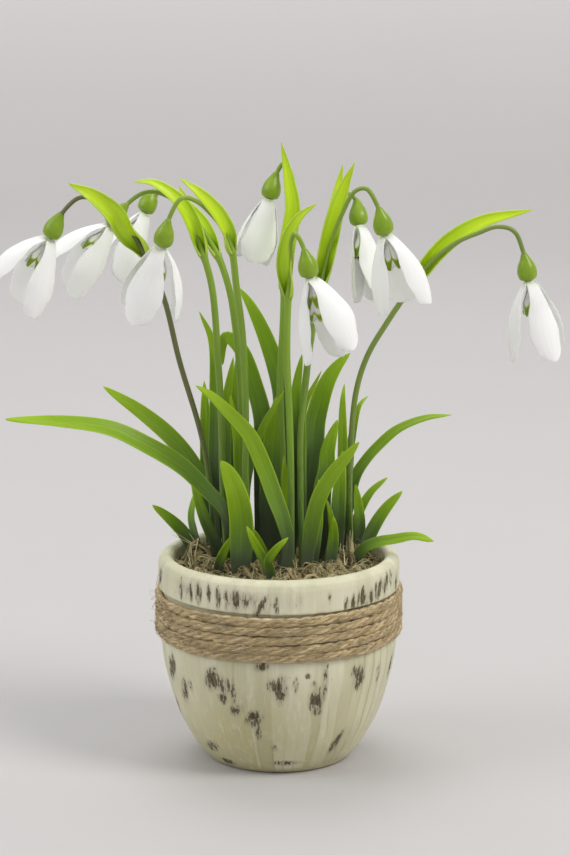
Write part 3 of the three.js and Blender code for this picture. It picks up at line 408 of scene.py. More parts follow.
def lattice_noise(rng, x, y, columns, rows, wrap=False):
    """Smooth noise from -1 to 1 over x and y, which count cells. It repeats in x if wrap."""
    grid = rng.uniform(-1, 1, (rows + 2, columns + 2))
    if wrap:
        grid[:, columns:] = grid[:, :2]
    i, j = np.floor(x).astype(int), np.floor(y).astype(int)
    u, v = smoothstep(x - i, 0, 1), smoothstep(y - j, 0, 1)
    i, j = np.clip(i, 0, columns), np.clip(j, 0, rows)
    low = grid[j, i] * (1 - u) + grid[j, i + 1] * u
    high = grid[j + 1, i] * (1 - u) + grid[j + 1, i + 1] * u
    return low * (1 - v) + high * v


def wobble(rng, x, waves, size):
    """A slow seeded wave over x, in which waves is about how many fit from 0 to 1."""
    total = 0
    for step in range(3):
        pace = waves * (0.6 + 0.5 * step) * rng.uniform(0.8, 1.2)
        total = total + np.sin(2 * math.pi * (pace * x + rng.uniform())) / (1 + step)
    return size * total / 1.6


# ---------------------------------------------------------------- meshes

def add_object(name, data):
    made = bpy.data.objects.new(name, data)
    bpy.context.scene.collection.objects.link(made)
    return made


def add_mesh(name, points, faces, materials):
    mesh = bpy.data.meshes.new(name)
    mesh.from_pydata(points, [], faces)
    mesh.polygons.foreach_set("use_smooth", [True] * len(faces))
    for material in materials:
        mesh.materials.append(material)
    return add_object(name, mesh)


def fold_back(upper, lower):
    """Rings that run over upper[ring, across] and back along lower."""
    return np.concatenate([upper, lower[:, ::-1][:, 1:-1]], 1)


def over_and_back(side):
    """The places across that go with such rings."""
    return fold_back(side[None], side[None])


class Sheaf:
    """Closed shells gathered into one mesh. grain holds, for each point, how far along
    its shell it is, how far across from -1 to 1, and a tint that the material reads."""

    def __init__(self):
        self.points, self.faces, self.slots, self.grain = [], [], [], []
        self.count = 0

    def add(self, rings, along, across, tint, slot=0):
        """A shell lofted from rings[ring, point], closed by a fan at both ends."""
        steps, sides = rings.shape[:2]
        ring = np.arange(steps - 1)[:, None] * sides
        side = np.arange(sides)
        after = (side + 1) % sides
        quads = np.stack([ring + side, ring + after, ring + sides + after,
                          ring + sides + side], -1).reshape(-1, 4)
        first, last, top = steps * sides, steps * sides + 1, (steps - 1) * sides
        fans = [(first, b, a) for a, b in zip(side, after)]
        fans += [(last, top + a, top + b) for a, b in zip(side, after)]
        points = np.concatenate([rings.reshape(-1, 3), rings[:1].mean(1), rings[-1:].mean(1)])
        grain = np.stack(np.broadcast_arrays(along, across, tint, rings[..., 0])[:3], -1)
        grain = np.concatenate([grain.reshape(-1, 3), grain[:1].mean(1), grain[-1:].mean(1)])
        faces = quads.tolist() + [[int(i) for i in face] for face in fans]
        a, b, c, d = (points[quads[:, k]] for k in range(4))
        if (a * np.cross(b, c) + a * np.cross(c, d)).sum() < 0:
            faces = [face[::-1] for face in faces]
        self.faces += [[i + self.count for i in face] for face in faces]
        self.slots += [slot] * len(faces)
        self.points.append(points)
        self.grain.append(grain)
        self.count += len(points)

    def add_strands(self, paths, radii, up, along, tint, sides, flat=1.0):
        """Thin tubes round paths[strand, step]. flat squeezes them in the up direction."""
        tangents = np.gradient(paths, axis=1)
        across = unit(np.cross(tangents, up))
        rise = unit(np.cross(across, tangents)) * flat
        angle = 2 * math.pi * np.arange(sides) / sides
        circle = (across[:, :, None] * np.cos(angle)[:, None]
                  + rise[:, :, None] * np.sin(angle)[:, None])
        rings = paths[:, :, None] + circle * radii[..., None, None]
        for strand, tone in zip(rings, np.broadcast_to(tint, len(rings))):
            self.add(strand, along[:, None], angle / math.pi - 1, tone)

    def place(self, name, node, slot, *materials):
        """The mesh of all the shells, as a piece that replaces a node of the model."""
        piece = add_mesh(name, np.concatenate(self.points) * MM, self.faces, materials)
        piece.data.polygons.foreach_set("material_index", self.slots)
        grain = piece.data.attributes.new("grain", "FLOAT_VECTOR", "POINT")
        grain.data.foreach_set("vector", np.concatenate(self.grain).ravel())
        piece.data.update()
        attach(piece, "root")
        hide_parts(node)


# ---------------------------------------------------------------- materials

def rgb(red, green, blue):
    """A colour given as 0 to 255 on the screen, in the linear values that nodes take."""
    linear = [(c / 255 / 12.92 if c < 10 else ((c / 255 + 0.055) / 1.055) ** 2.4)
              for c in (red, green, blue)]
    return (*linear, 1)


class Shader:
    """A material's nodes, with short calls that take numbers, colours or sockets. body is
    its colour so far. Colours are (red, green, blue) from 0 to 255."""

    def __init__(self, name):
        self.material = bpy.data.materials.new(name)
        self.material.use_nodes = True
        self.tree = self.material.node_tree
        self.tree.nodes.clear()
        self.surface = self.node("ShaderNodeBsdfPrincipled")
        self.node("ShaderNodeOutputMaterial", self.surface.outputs[0])
        self.grain = self.node("ShaderNodeAttribute", attribute_name="grain").outputs["Vector"]
        self.along, self.across, self.tint = self.parts(self.grain)
        self.place = self.node("ShaderNodeTexCoord").outputs["Object"]
        self.body = None

    def node(self, kind, *values, **settings):
        """A new node, with values for its first inputs."""
        node = self.tree.nodes.new(kind)
        for key, value in settings.items():
            setattr(node, key, value)
        for socket, value in zip(node.inputs, values):
            self.feed(socket, value)
        return node

    def feed(self, socket, value):
        if isinstance(value, bpy.types.NodeSocket):
            self.tree.links.new(value, socket)
        else:
            socket.default_value = value

    def math(self, operation, *values):
        return self.node("ShaderNodeMath", *values, operation=operation).outputs[0]

    def plus(self, a, b):
        return self.math("ADD", a, b)

    def minus(self, a, b):
        return self.math("SUBTRACT", a, b)

    def times(self, a, b):
        return self.math("MULTIPLY", a, b)

    def size(self, value):
        return self.math("ABSOLUTE", value)

    def parts(self, vector):
        return self.node("ShaderNodeSeparateXYZ", vector).outputs

    def stretch(self, vector, x, y, z):
        node = self.node("ShaderNodeVectorMath", vector, (x, y, z), operation="MULTIPLY")
        return node.outputs[0]

    def mix(self, share, a, b, blend="MIX"):
        node = self.node("ShaderNodeMix", share, data_type="RGBA", blend_type=blend)
        for socket, colour in zip(node.inputs[6:8], (a, b)):
            self.feed(socket, rgb(*colour) if isinstance(colour, tuple) else colour)
        return node.outputs[2]

    def paint(self, share, colour):
        """Lay a share of a colour over the material's."""
        self.body = self.mix(share, self.body, colour)

    def stain(self, share, colour):
        """Darken the material's colour by a share of another."""
        self.body = self.mix(share, self.body, colour, "MULTIPLY")

    def fade(self, value, low, high, start=0.0, end=1.0):
        """start below low and end above high, with a smooth step between them."""
        return self.node("ShaderNodeMapRange", value, low, high, start, end,
                         interpolation_type="SMOOTHSTEP").outputs[0]

    def ramp(self, value, *stops):
        """Colours along value. Each stop is (place, red, green, blue)."""
        node = self.node("ShaderNodeValToRGB", value)
        elements = node.color_ramp.elements
        while len(elements) < len(stops):
            elements.new(0.5)
        for element, (place, *colour) in zip(elements, stops):
            element.position, element.color = place, rgb(*colour)
        return node.outputs[0]

    def noise(self, vector, scale, detail=3, roughness=0.55):
        node = self.node("ShaderNodeTexNoise", vector)
        for name, value in (("Scale", scale), ("Detail", detail), ("Roughness", roughness)):
            node.inputs[name].default_value = value
        return node.outputs[0]

    def grained(self, stretch, scale, detail=4, roughness=0.55):
        """Noise that runs with the grain."""
        return self.noise(self.stretch(self.grain, *stretch), scale, detail, roughness)

    def brushed(self, length, scale, detail=3, roughness=0.6):
        """Noise that is drawn out up and down where length is under 1."""
        return self.noise(self.stretch(self.place, 1, 1, length), scale, detail, roughness)

    def bump(self, height, distance, strength=1.0):
        """A bump whose height from 0 to 1 stands for distance, in millimetres."""
        node = self.node("ShaderNodeBump")
        for name, value in (("Height", height), ("Distance", distance * MM),
                            ("Strength", strength)):
            self.feed(node.inputs[name], value)
        self.feed(self.surface.inputs["Normal"], node.outputs[0])

    def finish(self, roughness, gloss=0.5, glow=(0, (1, 0.2, 0.1), 50), sheen=0.0):
        """The finished material. glow is the share of light that goes in, how far each
        colour gets, and the unit of that in millimetres."""
        weight, reach, reach_unit = glow
        for name, value in (
                ("Base Color", self.body), ("Roughness", roughness),
                ("Specular IOR Level", gloss), ("Subsurface Weight", weight),
                ("Subsurface Radius", reach), ("Subsurface Scale", reach_unit * MM),
                ("Sheen Weight", sheen)):
            self.feed(self.surface.inputs[name], value)
        return self.material


def leaf_material():
    """along is how green the leaf has become, painted shade included; the tint is how much
    painted shade darkens it.
    """
    shade = Shader("snowdrop_leaf")
    streaks = shade.grained((3, 7, 31), 1.6)
    fine = shade.grained((7, 22, 17), 2.2, 3)
    # The ramp's dark low end is the leaf's slate colour and painted shade.
    shade.body = shade.ramp(
        shade.plus(shade.along, shade.times(shade.minus(streaks, 0.5), 0.12)),
        (0, 77, 84, 71), (0.12, 87, 95, 79), (0.26, 90, 102, 77), (0.42, 104, 135, 52),
        (0.62, 128, 162, 26), (0.86, 148, 180, 28), (1, 166, 198, 36))
    shade.stain(shade.fade(streaks, 0.3, 0.7, 0.5, 0), (206, 226, 206))
    shade.stain(shade.fade(fine, 0.4, 0.65, 0, 0.25), (214, 224, 200))
    # Painted shade darkens leaves behind by their tint.
    shade.stain(shade.fade(shade.tint, 0.1, 1), (236, 242, 232))
    upper = shade.fade(shade.along, 0.25, 0.5)
    edge = shade.size(shade.across)
    shade.paint(shade.times(shade.fade(edge, 0.8, 1, 0, 0.5), upper), (168, 200, 40))
    shade.paint(shade.times(shade.fade(edge, 0, 0.1, 0.3, 0), upper), (140, 176, 44))
    ribs = shade.math("SINE", shade.times(shade.across, 44))
    shade.bump(shade.plus(shade.times(ribs, 0.07), fine), 0.08, 0.4)
    return shade.finish(shade.fade(fine, 0.3, 0.7, 0.36, 0.5), 0.28,
                        glow=(0.15, (0.8, 1, 0.15), 1))


def stem_material():
    """The tint turns a stalk olive."""
    shade = Shader("snowdrop_stem")
    streaks = shade.grained((8, 3, 13), 2)
    # Darker towards the foot: painted shade deep in the clump.
    shade.body = shade.ramp(shade.along, (0, 44, 62, 38), (0.2, 76, 106, 40),
                            (0.42, 118, 154, 38), (0.75, 138, 172, 44), (1, 122, 148, 48))
    shade.paint(shade.fade(streaks, 0.35, 0.7, 0, 0.4), (140, 170, 50))
    shade.paint(shade.tint, shade.mix(streaks, (78, 82, 48), (122, 124, 78)))
    shade.bump(shade.brushed(0.3, 1600, 3, 0.55), 0.08, 0.5)
    return shade.finish(0.4, 0.45, glow=(0.2, (0.6, 1, 0.25), 1.2))


def ovary_material():
    shade = Shader("snowdrop_ovary")
    shade.body = shade.mix(shade.noise(shade.place, 420), (112, 142, 22), (142, 172, 40))
    shade.bump(shade.noise(shade.place, 1900, 2), 0.05, 0.4)
    return shade.finish(0.34, 0.4, glow=(0.15, (1, 1, 0.2), 1))


def spathe_material():
    shade = Shader("snowdrop_spathe")
    streaks = shade.grained((3, 11, 29), 1.8)
    edge = shade.size(shade.across)
    shade.body = shade.ramp(shade.along, (0, 142, 172, 24), (0.35, 182, 214, 14),
                            (0.8, 190, 220, 20), (1, 150, 176, 36))
    shade.paint(shade.fade(streaks, 0.3, 0.7, 0, 0.6), (208, 232, 40))
    shade.paint(shade.fade(edge, 0.75, 1, 0, 0.5), (222, 232, 140))
    shade.paint(shade.fade(edge, 0.5, 0.62, 0, 0.35), (140, 172, 44))
    shade.bump(streaks, 0.1, 0.5)
    return shade.finish(0.38, 0.42, glow=(0.3, (0.9, 1.2, 0.3), 1.5))


def tepal_material():
    """White tepals. along is 0 at the hub, and the tint greys the side inside the cup with
    painted shade.
    """
    shade = Shader("snowdrop_tepal")
    veins = shade.grained((2.2, 15, 11), 1.5)
    shade.body = shade.mix(shade.fade(veins, 0.35, 0.7), (249, 250, 248), (254, 254, 253))
    # Painted shade greys the inner side.
    shade.paint(shade.fade(shade.tint, 0, 1, 0, 0.5), (246, 248, 243))
    shade.paint(shade.fade(shade.along, 0, 0.1, 0.5, 0), (214, 226, 176))
    shade.bump(veins, 0.12, 0.5)
    return shade.finish(0.5, 0.3, glow=(0.4, (1, 1, 0.98), 4))


def marked_material(name, marks):
    """Inner tepals: white, with green marks that arch over the notch at the tip. marks are
    (lowest point of the lobes, half their height, how high the arch is)."""
    shade = Shader(name)
    edge = shade.size(shade.across)
    veins = shade.grained((2, 18, 9), 1.5)
    ragged = shade.times(shade.minus(shade.grained((9, 9, 5), 3), 0.5), 0.16)
    along = shade.plus(shade.along, ragged)
    shade.body = shade.mix(veins, (248, 250, 245), (253, 253, 251))
    # A faint line runs down the middle to the marks, which stop short of the edges.
    top = min(lowest - arch for lowest, half, arch in marks)
    line = shade.times(shade.fade(edge, 0.02, 0.13, 0.75, 0),
                       shade.fade(along, top + 0.05, top - 0.05))
    shade.paint(line, (182, 200, 74))
    sides = shade.fade(edge, 0.66, 0.84, 1, 0)
    for lowest, half, arch in marks:
        lobe = shade.math("POWER", shade.math("DIVIDE", shade.minus(edge, 0.42), 0.42), 2)
        off = shade.size(shade.minus(along, shade.minus(lowest, shade.times(lobe, arch))))
        depth = shade.minus(shade.fade(edge, 0.05, 0.36, half * 0.5, half), off)
        band = shade.times(shade.fade(depth, -0.03, 0.015), sides)
        core = shade.times(shade.fade(depth, 0, 0.07), sides)
        shade.paint(band, (196, 210, 84))
        shade.paint(core, shade.mix(veins, (98, 134, 22), (150, 180, 44)))
    shade.bump(veins, 0.12, 0.5)
    return shade.finish(0.5, 0.3, glow=(0.5, (1, 1, 0.9), 1.5))


def pot_material():
    """Cream glaze brushed up and down. along is the depth of the grooves between its
    planks, across is a plank's tone, and dark chips show where the tint is high."""
    shade = Shader("worn_cream_glaze")
    fine, broad = shade.brushed(0.035, 560, 5), shade.brushed(0.1, 150, roughness=0.5)
    clouds = shade.noise(shade.place, 30)
    shade.body = shade.mix(shade.fade(clouds, 0.35, 0.65), (203, 201, 170), (215, 212, 185))
    # The front of the belly is yellower low down.
    sideways, _, height = shade.parts(shade.place)
    front = shade.fade(shade.size(shade.plus(sideways, 0.004)), 0.012, 0.036, 0.85, 0.25)
    shade.paint(shade.times(shade.fade(height, 0.048, 0.02), front), (186, 179, 132))
    shade.paint(shade.fade(broad, 0.42, 0.65, 0, 0.5), (184, 184, 154))
    shade.paint(shade.fade(fine, 0.5, 0.75, 0, 0.35), (232, 229, 208))
    shade.paint(shade.fade(shade.across, 0, 0.9, 0, 0.6), (230, 227, 204))
    shade.paint(shade.fade(shade.across, 0, -0.9, 0, 0.6), (182, 177, 140))
    shade.paint(shade.fade(shade.along, 0.1, 0.9, 0, 0.5), (156, 150, 112))
    streaks, crumbs = shade.brushed(0.16, 1500, 4), shade.brushed(0.5, 1300)
    rough = shade.plus(shade.times(shade.minus(streaks, 0.5), 1.9),
                       shade.times(shade.minus(crumbs, 0.5), 0.7))
    bare = shade.fade(shade.plus(shade.tint, rough), 0.4, 0.56)
    dark = shade.ramp(streaks, (0.3, 52, 46, 32), (0.5, 88, 80, 60), (0.7, 136, 128, 104))
    shade.paint(shade.fade(shade.tint, 0.03, 0.4, 0, 0.5), (154, 147, 126))
    shade.paint(bare, dark)
    shade.bump(shade.minus(shade.plus(fine, broad), shade.times(bare, 0.9)), 0.3, 0.75)
    return shade.finish(shade.fade(bare, 0, 1, 0.52, 0.8), 0.35)


def fibre_material(name, dark, middle, light):
    """Dry plant fibre: streaks run along each strand, and the tint picks its colour."""
    shade = Shader(name)
    patches = shade.noise(shade.place, 420, 4, 0.6)
    strands = shade.grained((2.4, 4, 5), 2.5, roughness=0.6)
    shade.body = shade.ramp(shade.tint, (0, *dark), (0.45, *middle), (1, *light))
    shade.stain(shade.fade(strands, 0.35, 0.62, 0.75, 0), (170, 158, 138))
    shade.paint(shade.fade(strands, 0.52, 0.72, 0, 0.5), light)
    shade.stain(shade.fade(patches, 0.35, 0.5, 0.5, 0), (196, 184, 160))
    shade.bump(strands, 0.3, 0.8)
    return shade.finish(0.85, 0.2, sheen=0.15)


def soil_material():
    shade = Shader("dark_soil")
    grit = shade.noise(shade.place, 600, 5, 0.7)
    shade.body = shade.mix(grit, (40, 32, 24), (86, 72, 56))
    shade.bump(grit, 0.6)
    return shade.finish(0.95)


def floor_material():
    """A pale grey, with painted light that makes it lighter and a little warmer as the floor
    curves up into its wall.
    """
    shade = Shader("pale_floor")
    height = shade.parts(shade.place)[2]
    shade.body = shade.mix(shade.noise(shade.place, 3, 2), (187, 185, 184), (192, 190, 189))
    # Painted light on the curved-up wall.
    shade.paint(shade.fade(height, 0, 0.24), (212, 208, 208))
    return shade.finish(0.7, 0.2)


# ---------------------------------------------------------------- the plant

def direction(right, up):
    turn, lift = math.radians(right), math.radians(up)
    return np.array([math.sin(turn) * math.cos(lift), -math.cos(turn) * math.cos(lift),
                     math.sin(lift)])


def standing(point, back=0.0):
    """Where a point of the tables stands: the clump fans out in depth with its height."""
    x, y, z = point
    rise = (z - ROOT_LEVELS[-1]) / FAN_HEIGHT
    shift = y * rise * rise + back
    return x * (1 + BACK_SPREAD * shift), y + shift, z - BACK_DROP * shift


def root_points(root):
    return [(*root, height) for height in ROOT_LEVELS]


def blade_spine(path, shares, face, sway):
    """A blade's middle line, and the ways across it and up from it."""
    tangent = path.tangent(shares)
    across = unit(np.cross(tangent, turned(direction(*face), tangent, sway)))
    return path.at(shares), across, np.cross(across, tangent)


def blade_layer(spine, x, y):
    """Points that lie x[ring, across] beside a blade's middle line and y above it."""
    centre, across, up = (part[:, None] for part in spine)
    return centre + across * x[..., None] + up * y[..., None]


def make_leaf(leaf, number, material):
    width, lean, face, root, points = leaf
    rng = np.random.default_rng(LEAF_SEED + number)
    path = Path(root_points(root) + [
        standing(point, lean * (i / len(points)) ** 2) for i, point in enumerate(points, 1)])
    steps = LEAF_STEPS + round(path.length * LEAF_STEPS_PER_MM)
    shares = 1 - (1 - np.linspace(0, 1, steps)) ** 1.35
    waist = 0.56 + 0.44 * smoothstep(shares, 0.1, 0.5)
    widths = np.maximum(width * waist * (1 - shares**6) ** 0.7, 0.25)
    sway = wobble(rng, shares, 1.2, math.radians(7)) * smoothstep(shares, 0.1, 0.6)
    spine = blade_spine(path, shares, face, sway)

    side = -np.cos(np.linspace(0, math.pi, LEAF_ACROSS))
    edge = np.abs(side)
    thick = (LEAF_THICK * (1 - 0.4 * shares) * np.minimum(1, widths / 1.6))[:, None]
    rib = thick * np.exp(-(edge / 0.09) ** 2)
    half = thick / 2 * thinned(side, 0.98) + 0.16 * rib * (1 - shares[:, None])
    keel = LEAF_KEEL * smoothstep(shares, 0.05, 0.4) * (1 - shares**2) * widths
    ripple = wobble(rng, shares, 3.5, 0.22) * smoothstep(shares, 0.15, 0.5)
    lift = (keel[:, None] * edge**1.5 - 0.13 * rib + ripple[:, None] * side**3
            + 0.02 * np.cos(side * 40) * thick)
    beside = widths[:, None] / 2 * side
    rings = fold_back(*(blade_layer(spine, beside, lift + away) for away in (half, -half)))

    # The base is dark, in its own slate colour and in painted shade that reaches higher inside
    # the clump, and green sooner in front and on short leaves.
    behind = smoothstep(root[1], -12, 12) * (1 - 0.5 * smoothstep(abs(root[0]), 14, 26))
    heights = spine[0][:, 2]
    rise = (0.27 + 0.33 * behind) * (heights.max() - LEAF_DARK + 1)
    green = shares[np.argmax(heights >= LEAF_DARK + rise)] * path.length
    age_and_shade = np.interp(shares * path.length, [0, 11, green, path.length], [0, 0.1, 0.4, 1])
    # The tint is painted shade, deeper on leaves behind, with some random spread.
    tint = np.clip(0.1 + 0.6 * behind + rng.uniform(-0.1, 0.3), 0, 1)
    sheaf = Sheaf()
    sheaf.add(rings, age_and_shade[:, None], over_and_back(side), tint)
    sheaf.place("leaf_%02d_blade" % number, "leaf_%02d" % number, "leaf", material)


def scape_points(flower):
    return root_points(flower["root"]) + [standing(point) for point in flower["scape"]]


def stalk_path(flower):
    return Path(scape_points(flower) + [standing(point) for point in flower["pedicel"]])


def make_stalk(flower, number, materials):
    path = stalk_path(flower)
    node = Path(scape_points(flower)).length
    bare = path.length - OVARY_LENGTH
    shares = np.concatenate([
        np.linspace(0, bare, round(path.length / STALK_STEP), endpoint=False),
        path.length - OVARY_LENGTH * np.cos(np.linspace(0, math.pi / 2, OVARY_STEPS)) ** 1.3,
    ]) / path.length
    distance = shares * path.length
    back = path.length - distance
    scape = SCAPE_RADIUS * flower["stout"]
    thin = smoothstep(distance, node, node + STALK_THINNING)
    radius = scape + (PEDICEL_RADIUS - scape) * thin
    radius = radius + 0.28 * np.exp(-((distance - node) / 1.6) ** 2)
    swell = table_curve(OVARY, back) * np.sqrt(
        np.clip(1 - (1 - back / 1.1).clip(0) ** 2, 0.05, 1))
    in_ovary = back < OVARY_LENGTH
    radius = np.where(in_ovary, np.maximum(swell, PEDICEL_RADIUS * 0.8), radius)

    across, sides = np.array([1.0, 0, 0]), all_round(STALK_AROUND)
    rings = []
    for centre, along, wide in zip(path.at(shares), path.tangent(shares), radius):
        across = unit(across - along * across.dot(along))
        beside = np.cross(along, across)
        ribbed = wide * (1 + 0.02 * np.cos(6 * sides))[:, None]
        rings.append(centre + (across * np.cos(sides)[:, None]
                               + beside * np.sin(sides)[:, None]) * ribbed)
    rings = np.array(rings)
    olive = (flower["olive"] * smoothstep(distance, *OLIVE_RANGE))[:, None]
    start = int(np.argmax(in_ovary))
    sheaf = Sheaf()
    for slot, part in enumerate((slice(start + 1), slice(start, None))):
        sheaf.add(rings[part], shares[part, None], sides / math.pi - 1, olive[part], slot)
    sheaf.place("stem_%02d_stalk" % number, "stem_%02d" % number, "stem", *materials)


def make_spathe(flower, number, material):
    """The folded sheath leaf: it wraps the stalk at its foot and opens towards its tip."""
    rng = np.random.default_rng(SPATHE_SEED + number)
    path = Path([standing(point) for point in flower["scape"][-1:] + flower["spathe"]])
    shares = 1 - (1 - np.linspace(0, 1, SPATHE_STEPS)) ** 1.3
    swell = np.sin(math.pi * np.minimum(shares * 0.85 + 0.15, 0.999)) ** 0.8
    half_width = np.maximum(flower["spathe_width"] * swell, 0.4)[:, None] / 2
    fold = np.radians(np.interp(shares, *SPATHE_FOLD))[:, None]
    radius = half_width / np.sin(np.minimum(fold, math.pi / 2))
    side = np.linspace(-1, 1, SPATHE_ACROSS)
    spine = blade_spine(path, shares, flower["face"], wobble(rng, shares, 0.8, math.radians(8)))
    sink = -radius * (1 - smoothstep(shares, 0.02, 0.3))[:, None]
    thick = SPATHE_THICK * (1 - 0.35 * shares)[:, None] * np.minimum(1, half_width / 0.8)
    half = thick / 2 * thinned(side)
    ruffle = wobble(rng, shares, 3, 0.18)[:, None] * side**3
    bend = side * fold
    rings = fold_back(*(
        blade_layer(spine, reach * np.sin(bend), radius - reach * np.cos(bend) + sink + ruffle)
        for reach in (radius - half, radius + half)))
    sheaf = Sheaf()
    sheaf.add(rings, shares[:, None], over_and_back(side), rng.uniform())
    sheaf.place("stem_%02d_spathe" % number, "stem_%02d" % number, "stem", material)


def bloom_axes(flower):
    """The way that a flower hangs, where it starts, and the way out at so many degrees
    right of the viewer."""
    path = stalk_path(flower)
    axis = path.tangent(np.array([1.0]))[0]
    front = np.array([0, -1.0, 0])
    front = unit(front - axis * front.dot(axis))
    return (axis, path.at(1.0) + axis * BLOOM_GAP,
            lambda degrees: turned(front, axis, -math.radians(degrees)))


def add_tepal(sheaf, axes, turn, opening, length, rng):
    """A long outer tepal, hollow like a spoon. Its tint is 1 on the inner side, which takes
    painted shade.
    """
    axis, origin, away = axes
    out = away(turn)
    across = np.cross(axis, out)
    shares = np.sin(np.linspace(0, math.pi / 2, TEPAL_STEPS)) ** 1.15
    side = np.sin(np.linspace(-math.pi / 2, math.pi / 2, TEPAL_ACROSS))
    angle = np.radians(opening * (1 - TEPAL_TURN_IN * shares))[:, None]
    along = axis * np.cos(angle) + out * np.sin(angle)
    normal = out * np.cos(angle) - axis * np.sin(angle)
    centre = origin + axis * TEPAL_DROP + out * TEPAL_START + np.concatenate([
        np.zeros((1, 3)),
        np.cumsum((along[1:] + along[:-1]) / 2 * np.diff(shares)[:, None], 0) * length])

    outline = table_curve(TEPAL_OUTLINE, shares)
    tip = np.sqrt(np.clip(
        1 - ((shares - TEPAL_ROUND) / (1 - TEPAL_ROUND)).clip(0) ** 2, 0, 1))
    full = np.where(shares > TEPAL_ROUND,
                    np.interp(TEPAL_ROUND, *zip(*TEPAL_OUTLINE)) * tip**0.85, outline)
    blend = smoothstep(shares, 0.66, 0.84)
    width = TEPAL_WIDTH * np.maximum(outline * (1 - blend) + full * blend, 0.02)
    hollow = TEPAL_HOLLOW * width * np.minimum(1, shares * 3)
    least = TEPAL_HOLLOW * TEPAL_WIDTH * 0.33 * (width / TEPAL_WIDTH) ** 0.5
    hollow = np.where(shares > 0.85, np.maximum(hollow, least), hollow)

    swing = (wobble(rng, shares, 0.9, math.radians(5)) * shares)[:, None]
    spine = (centre, across * np.cos(swing) + normal * np.sin(swing),
             normal * np.cos(swing) - across * np.sin(swing))
    ruffle = (wobble(rng, shares, 2.5, 0.28) * smoothstep(shares, 0.2, 0.6))[:, None] * side**3
    veins = (0.05 * np.cos(side * 19) * smoothstep(shares, 0.05, 0.3)[:, None]
             * smoothstep(1 - np.abs(side), 0, 0.3))
    lift = ruffle + veins - hollow[:, None] * side**2
    thin = np.minimum(1, width / 2.5) * (0.85 + 0.5 * (1 - smoothstep(shares, 0, 0.2)))
    half = TEPAL_THICK / 2 * thin[:, None] * thinned(side)
    beside = width[:, None] / 2 * side
    rings = fold_back(*(blade_layer(spine, beside, lift + away) for away in (half, -half)))
    sheaf.add(rings, shares[:, None], over_and_back(side),
              [0] * TEPAL_ACROSS + [1] * (TEPAL_ACROSS - 2))


def add_inner(sheaf, axes, turn, length):
    """A short inner tepal, notched at its tip. Three of them overlap into a cup."""
    axis, origin, away = axes
    shares = np.sin(np.linspace(0, math.pi / 2, INNER_STEPS))[:, None]
    side = np.sin(np.linspace(-math.pi / 2, math.pi / 2, INNER_ACROSS))
    spread = math.radians(INNER_REACH) * smoothstep(shares, -0.25, 0.45)
    notch = 0.15 * np.exp(-(side / 0.2) ** 2) + 0.22 * np.abs(side) ** 4
    down = INNER_START + length * shares * (1 - notch * shares**2)
    radius = 0.9 + 2.6 * smoothstep(shares, 0, 0.75) + 0.35 * smoothstep(shares, 0.8, 1)
    radius = radius + 0.24 * side - 0.1 * np.cos(side * 9) * smoothstep(shares, 0.2, 0.7)
    bend = math.radians(turn) + spread * side
    half = INNER_THICK / 2 * thinned(side, 0.96) * (1 - 0.45 * shares**6)
    rings = fold_back(*(
        origin + axis * down[..., None] + away(0) * (reach * np.cos(bend))[..., None]
        + away(90) * (reach * np.sin(bend))[..., None]
        for reach in (radius + half, radius - half)))
    sheaf.add(rings, shares, over_and_back(side), 0.2, 1)


def make_bloom(flower, number, materials):
    rng = np.random.default_rng(BLOOM_SEED + number)
    axes = bloom_axes(flower)
    sheaf = Sheaf()
    for turn, opening in zip(flower["turns"], flower["spread"]):
        add_tepal(sheaf, axes, turn, opening, flower["length"], rng)
    length = TWICE_MARKED_LENGTH if number == TWICE_MARKED else INNER_LENGTH
    for turn in (60, 180, 300):
        add_inner(sheaf, axes, flower["turns"][0] + turn, length)
    axis, origin, away = axes
    angles = all_round(HUB_AROUND)
    circle = np.cos(angles)[:, None] * away(0) + np.sin(angles)[:, None] * away(90)
    hub = np.array([origin + axis * down + circle * radius for down, radius in HUB])
    # The hub wears the tepals' material, half greyed by their painted shade.
    sheaf.add(hub, 0.05, 0, 0.5)
    sheaf.place("bloom_%02d_tepals" % number, "bloom_%02d" % number, "bloom", *materials)


# ---------------------------------------------------------------- pot, twine and coir

def spline_profile(points, per_span):
    """Points along the plain Catmull-Rom curve that the pot's profiles follow."""
    points = np.asarray(points, float)
    points = np.concatenate([points[:1], points, points[-1:]])
    t = np.linspace(0, 1, per_span, endpoint=False)[:, None]
    spans = [b + t * (c - a) / 2 + t**2 * (2 * a - 5 * b + 4 * c - d) / 2
             + t**3 * (3 * b - a - 3 * c + d) / 2
             for a, b, c, d in zip(points, points[1:], points[2:], points[3:])]
    return np.concatenate(spans + [points[-1:]])


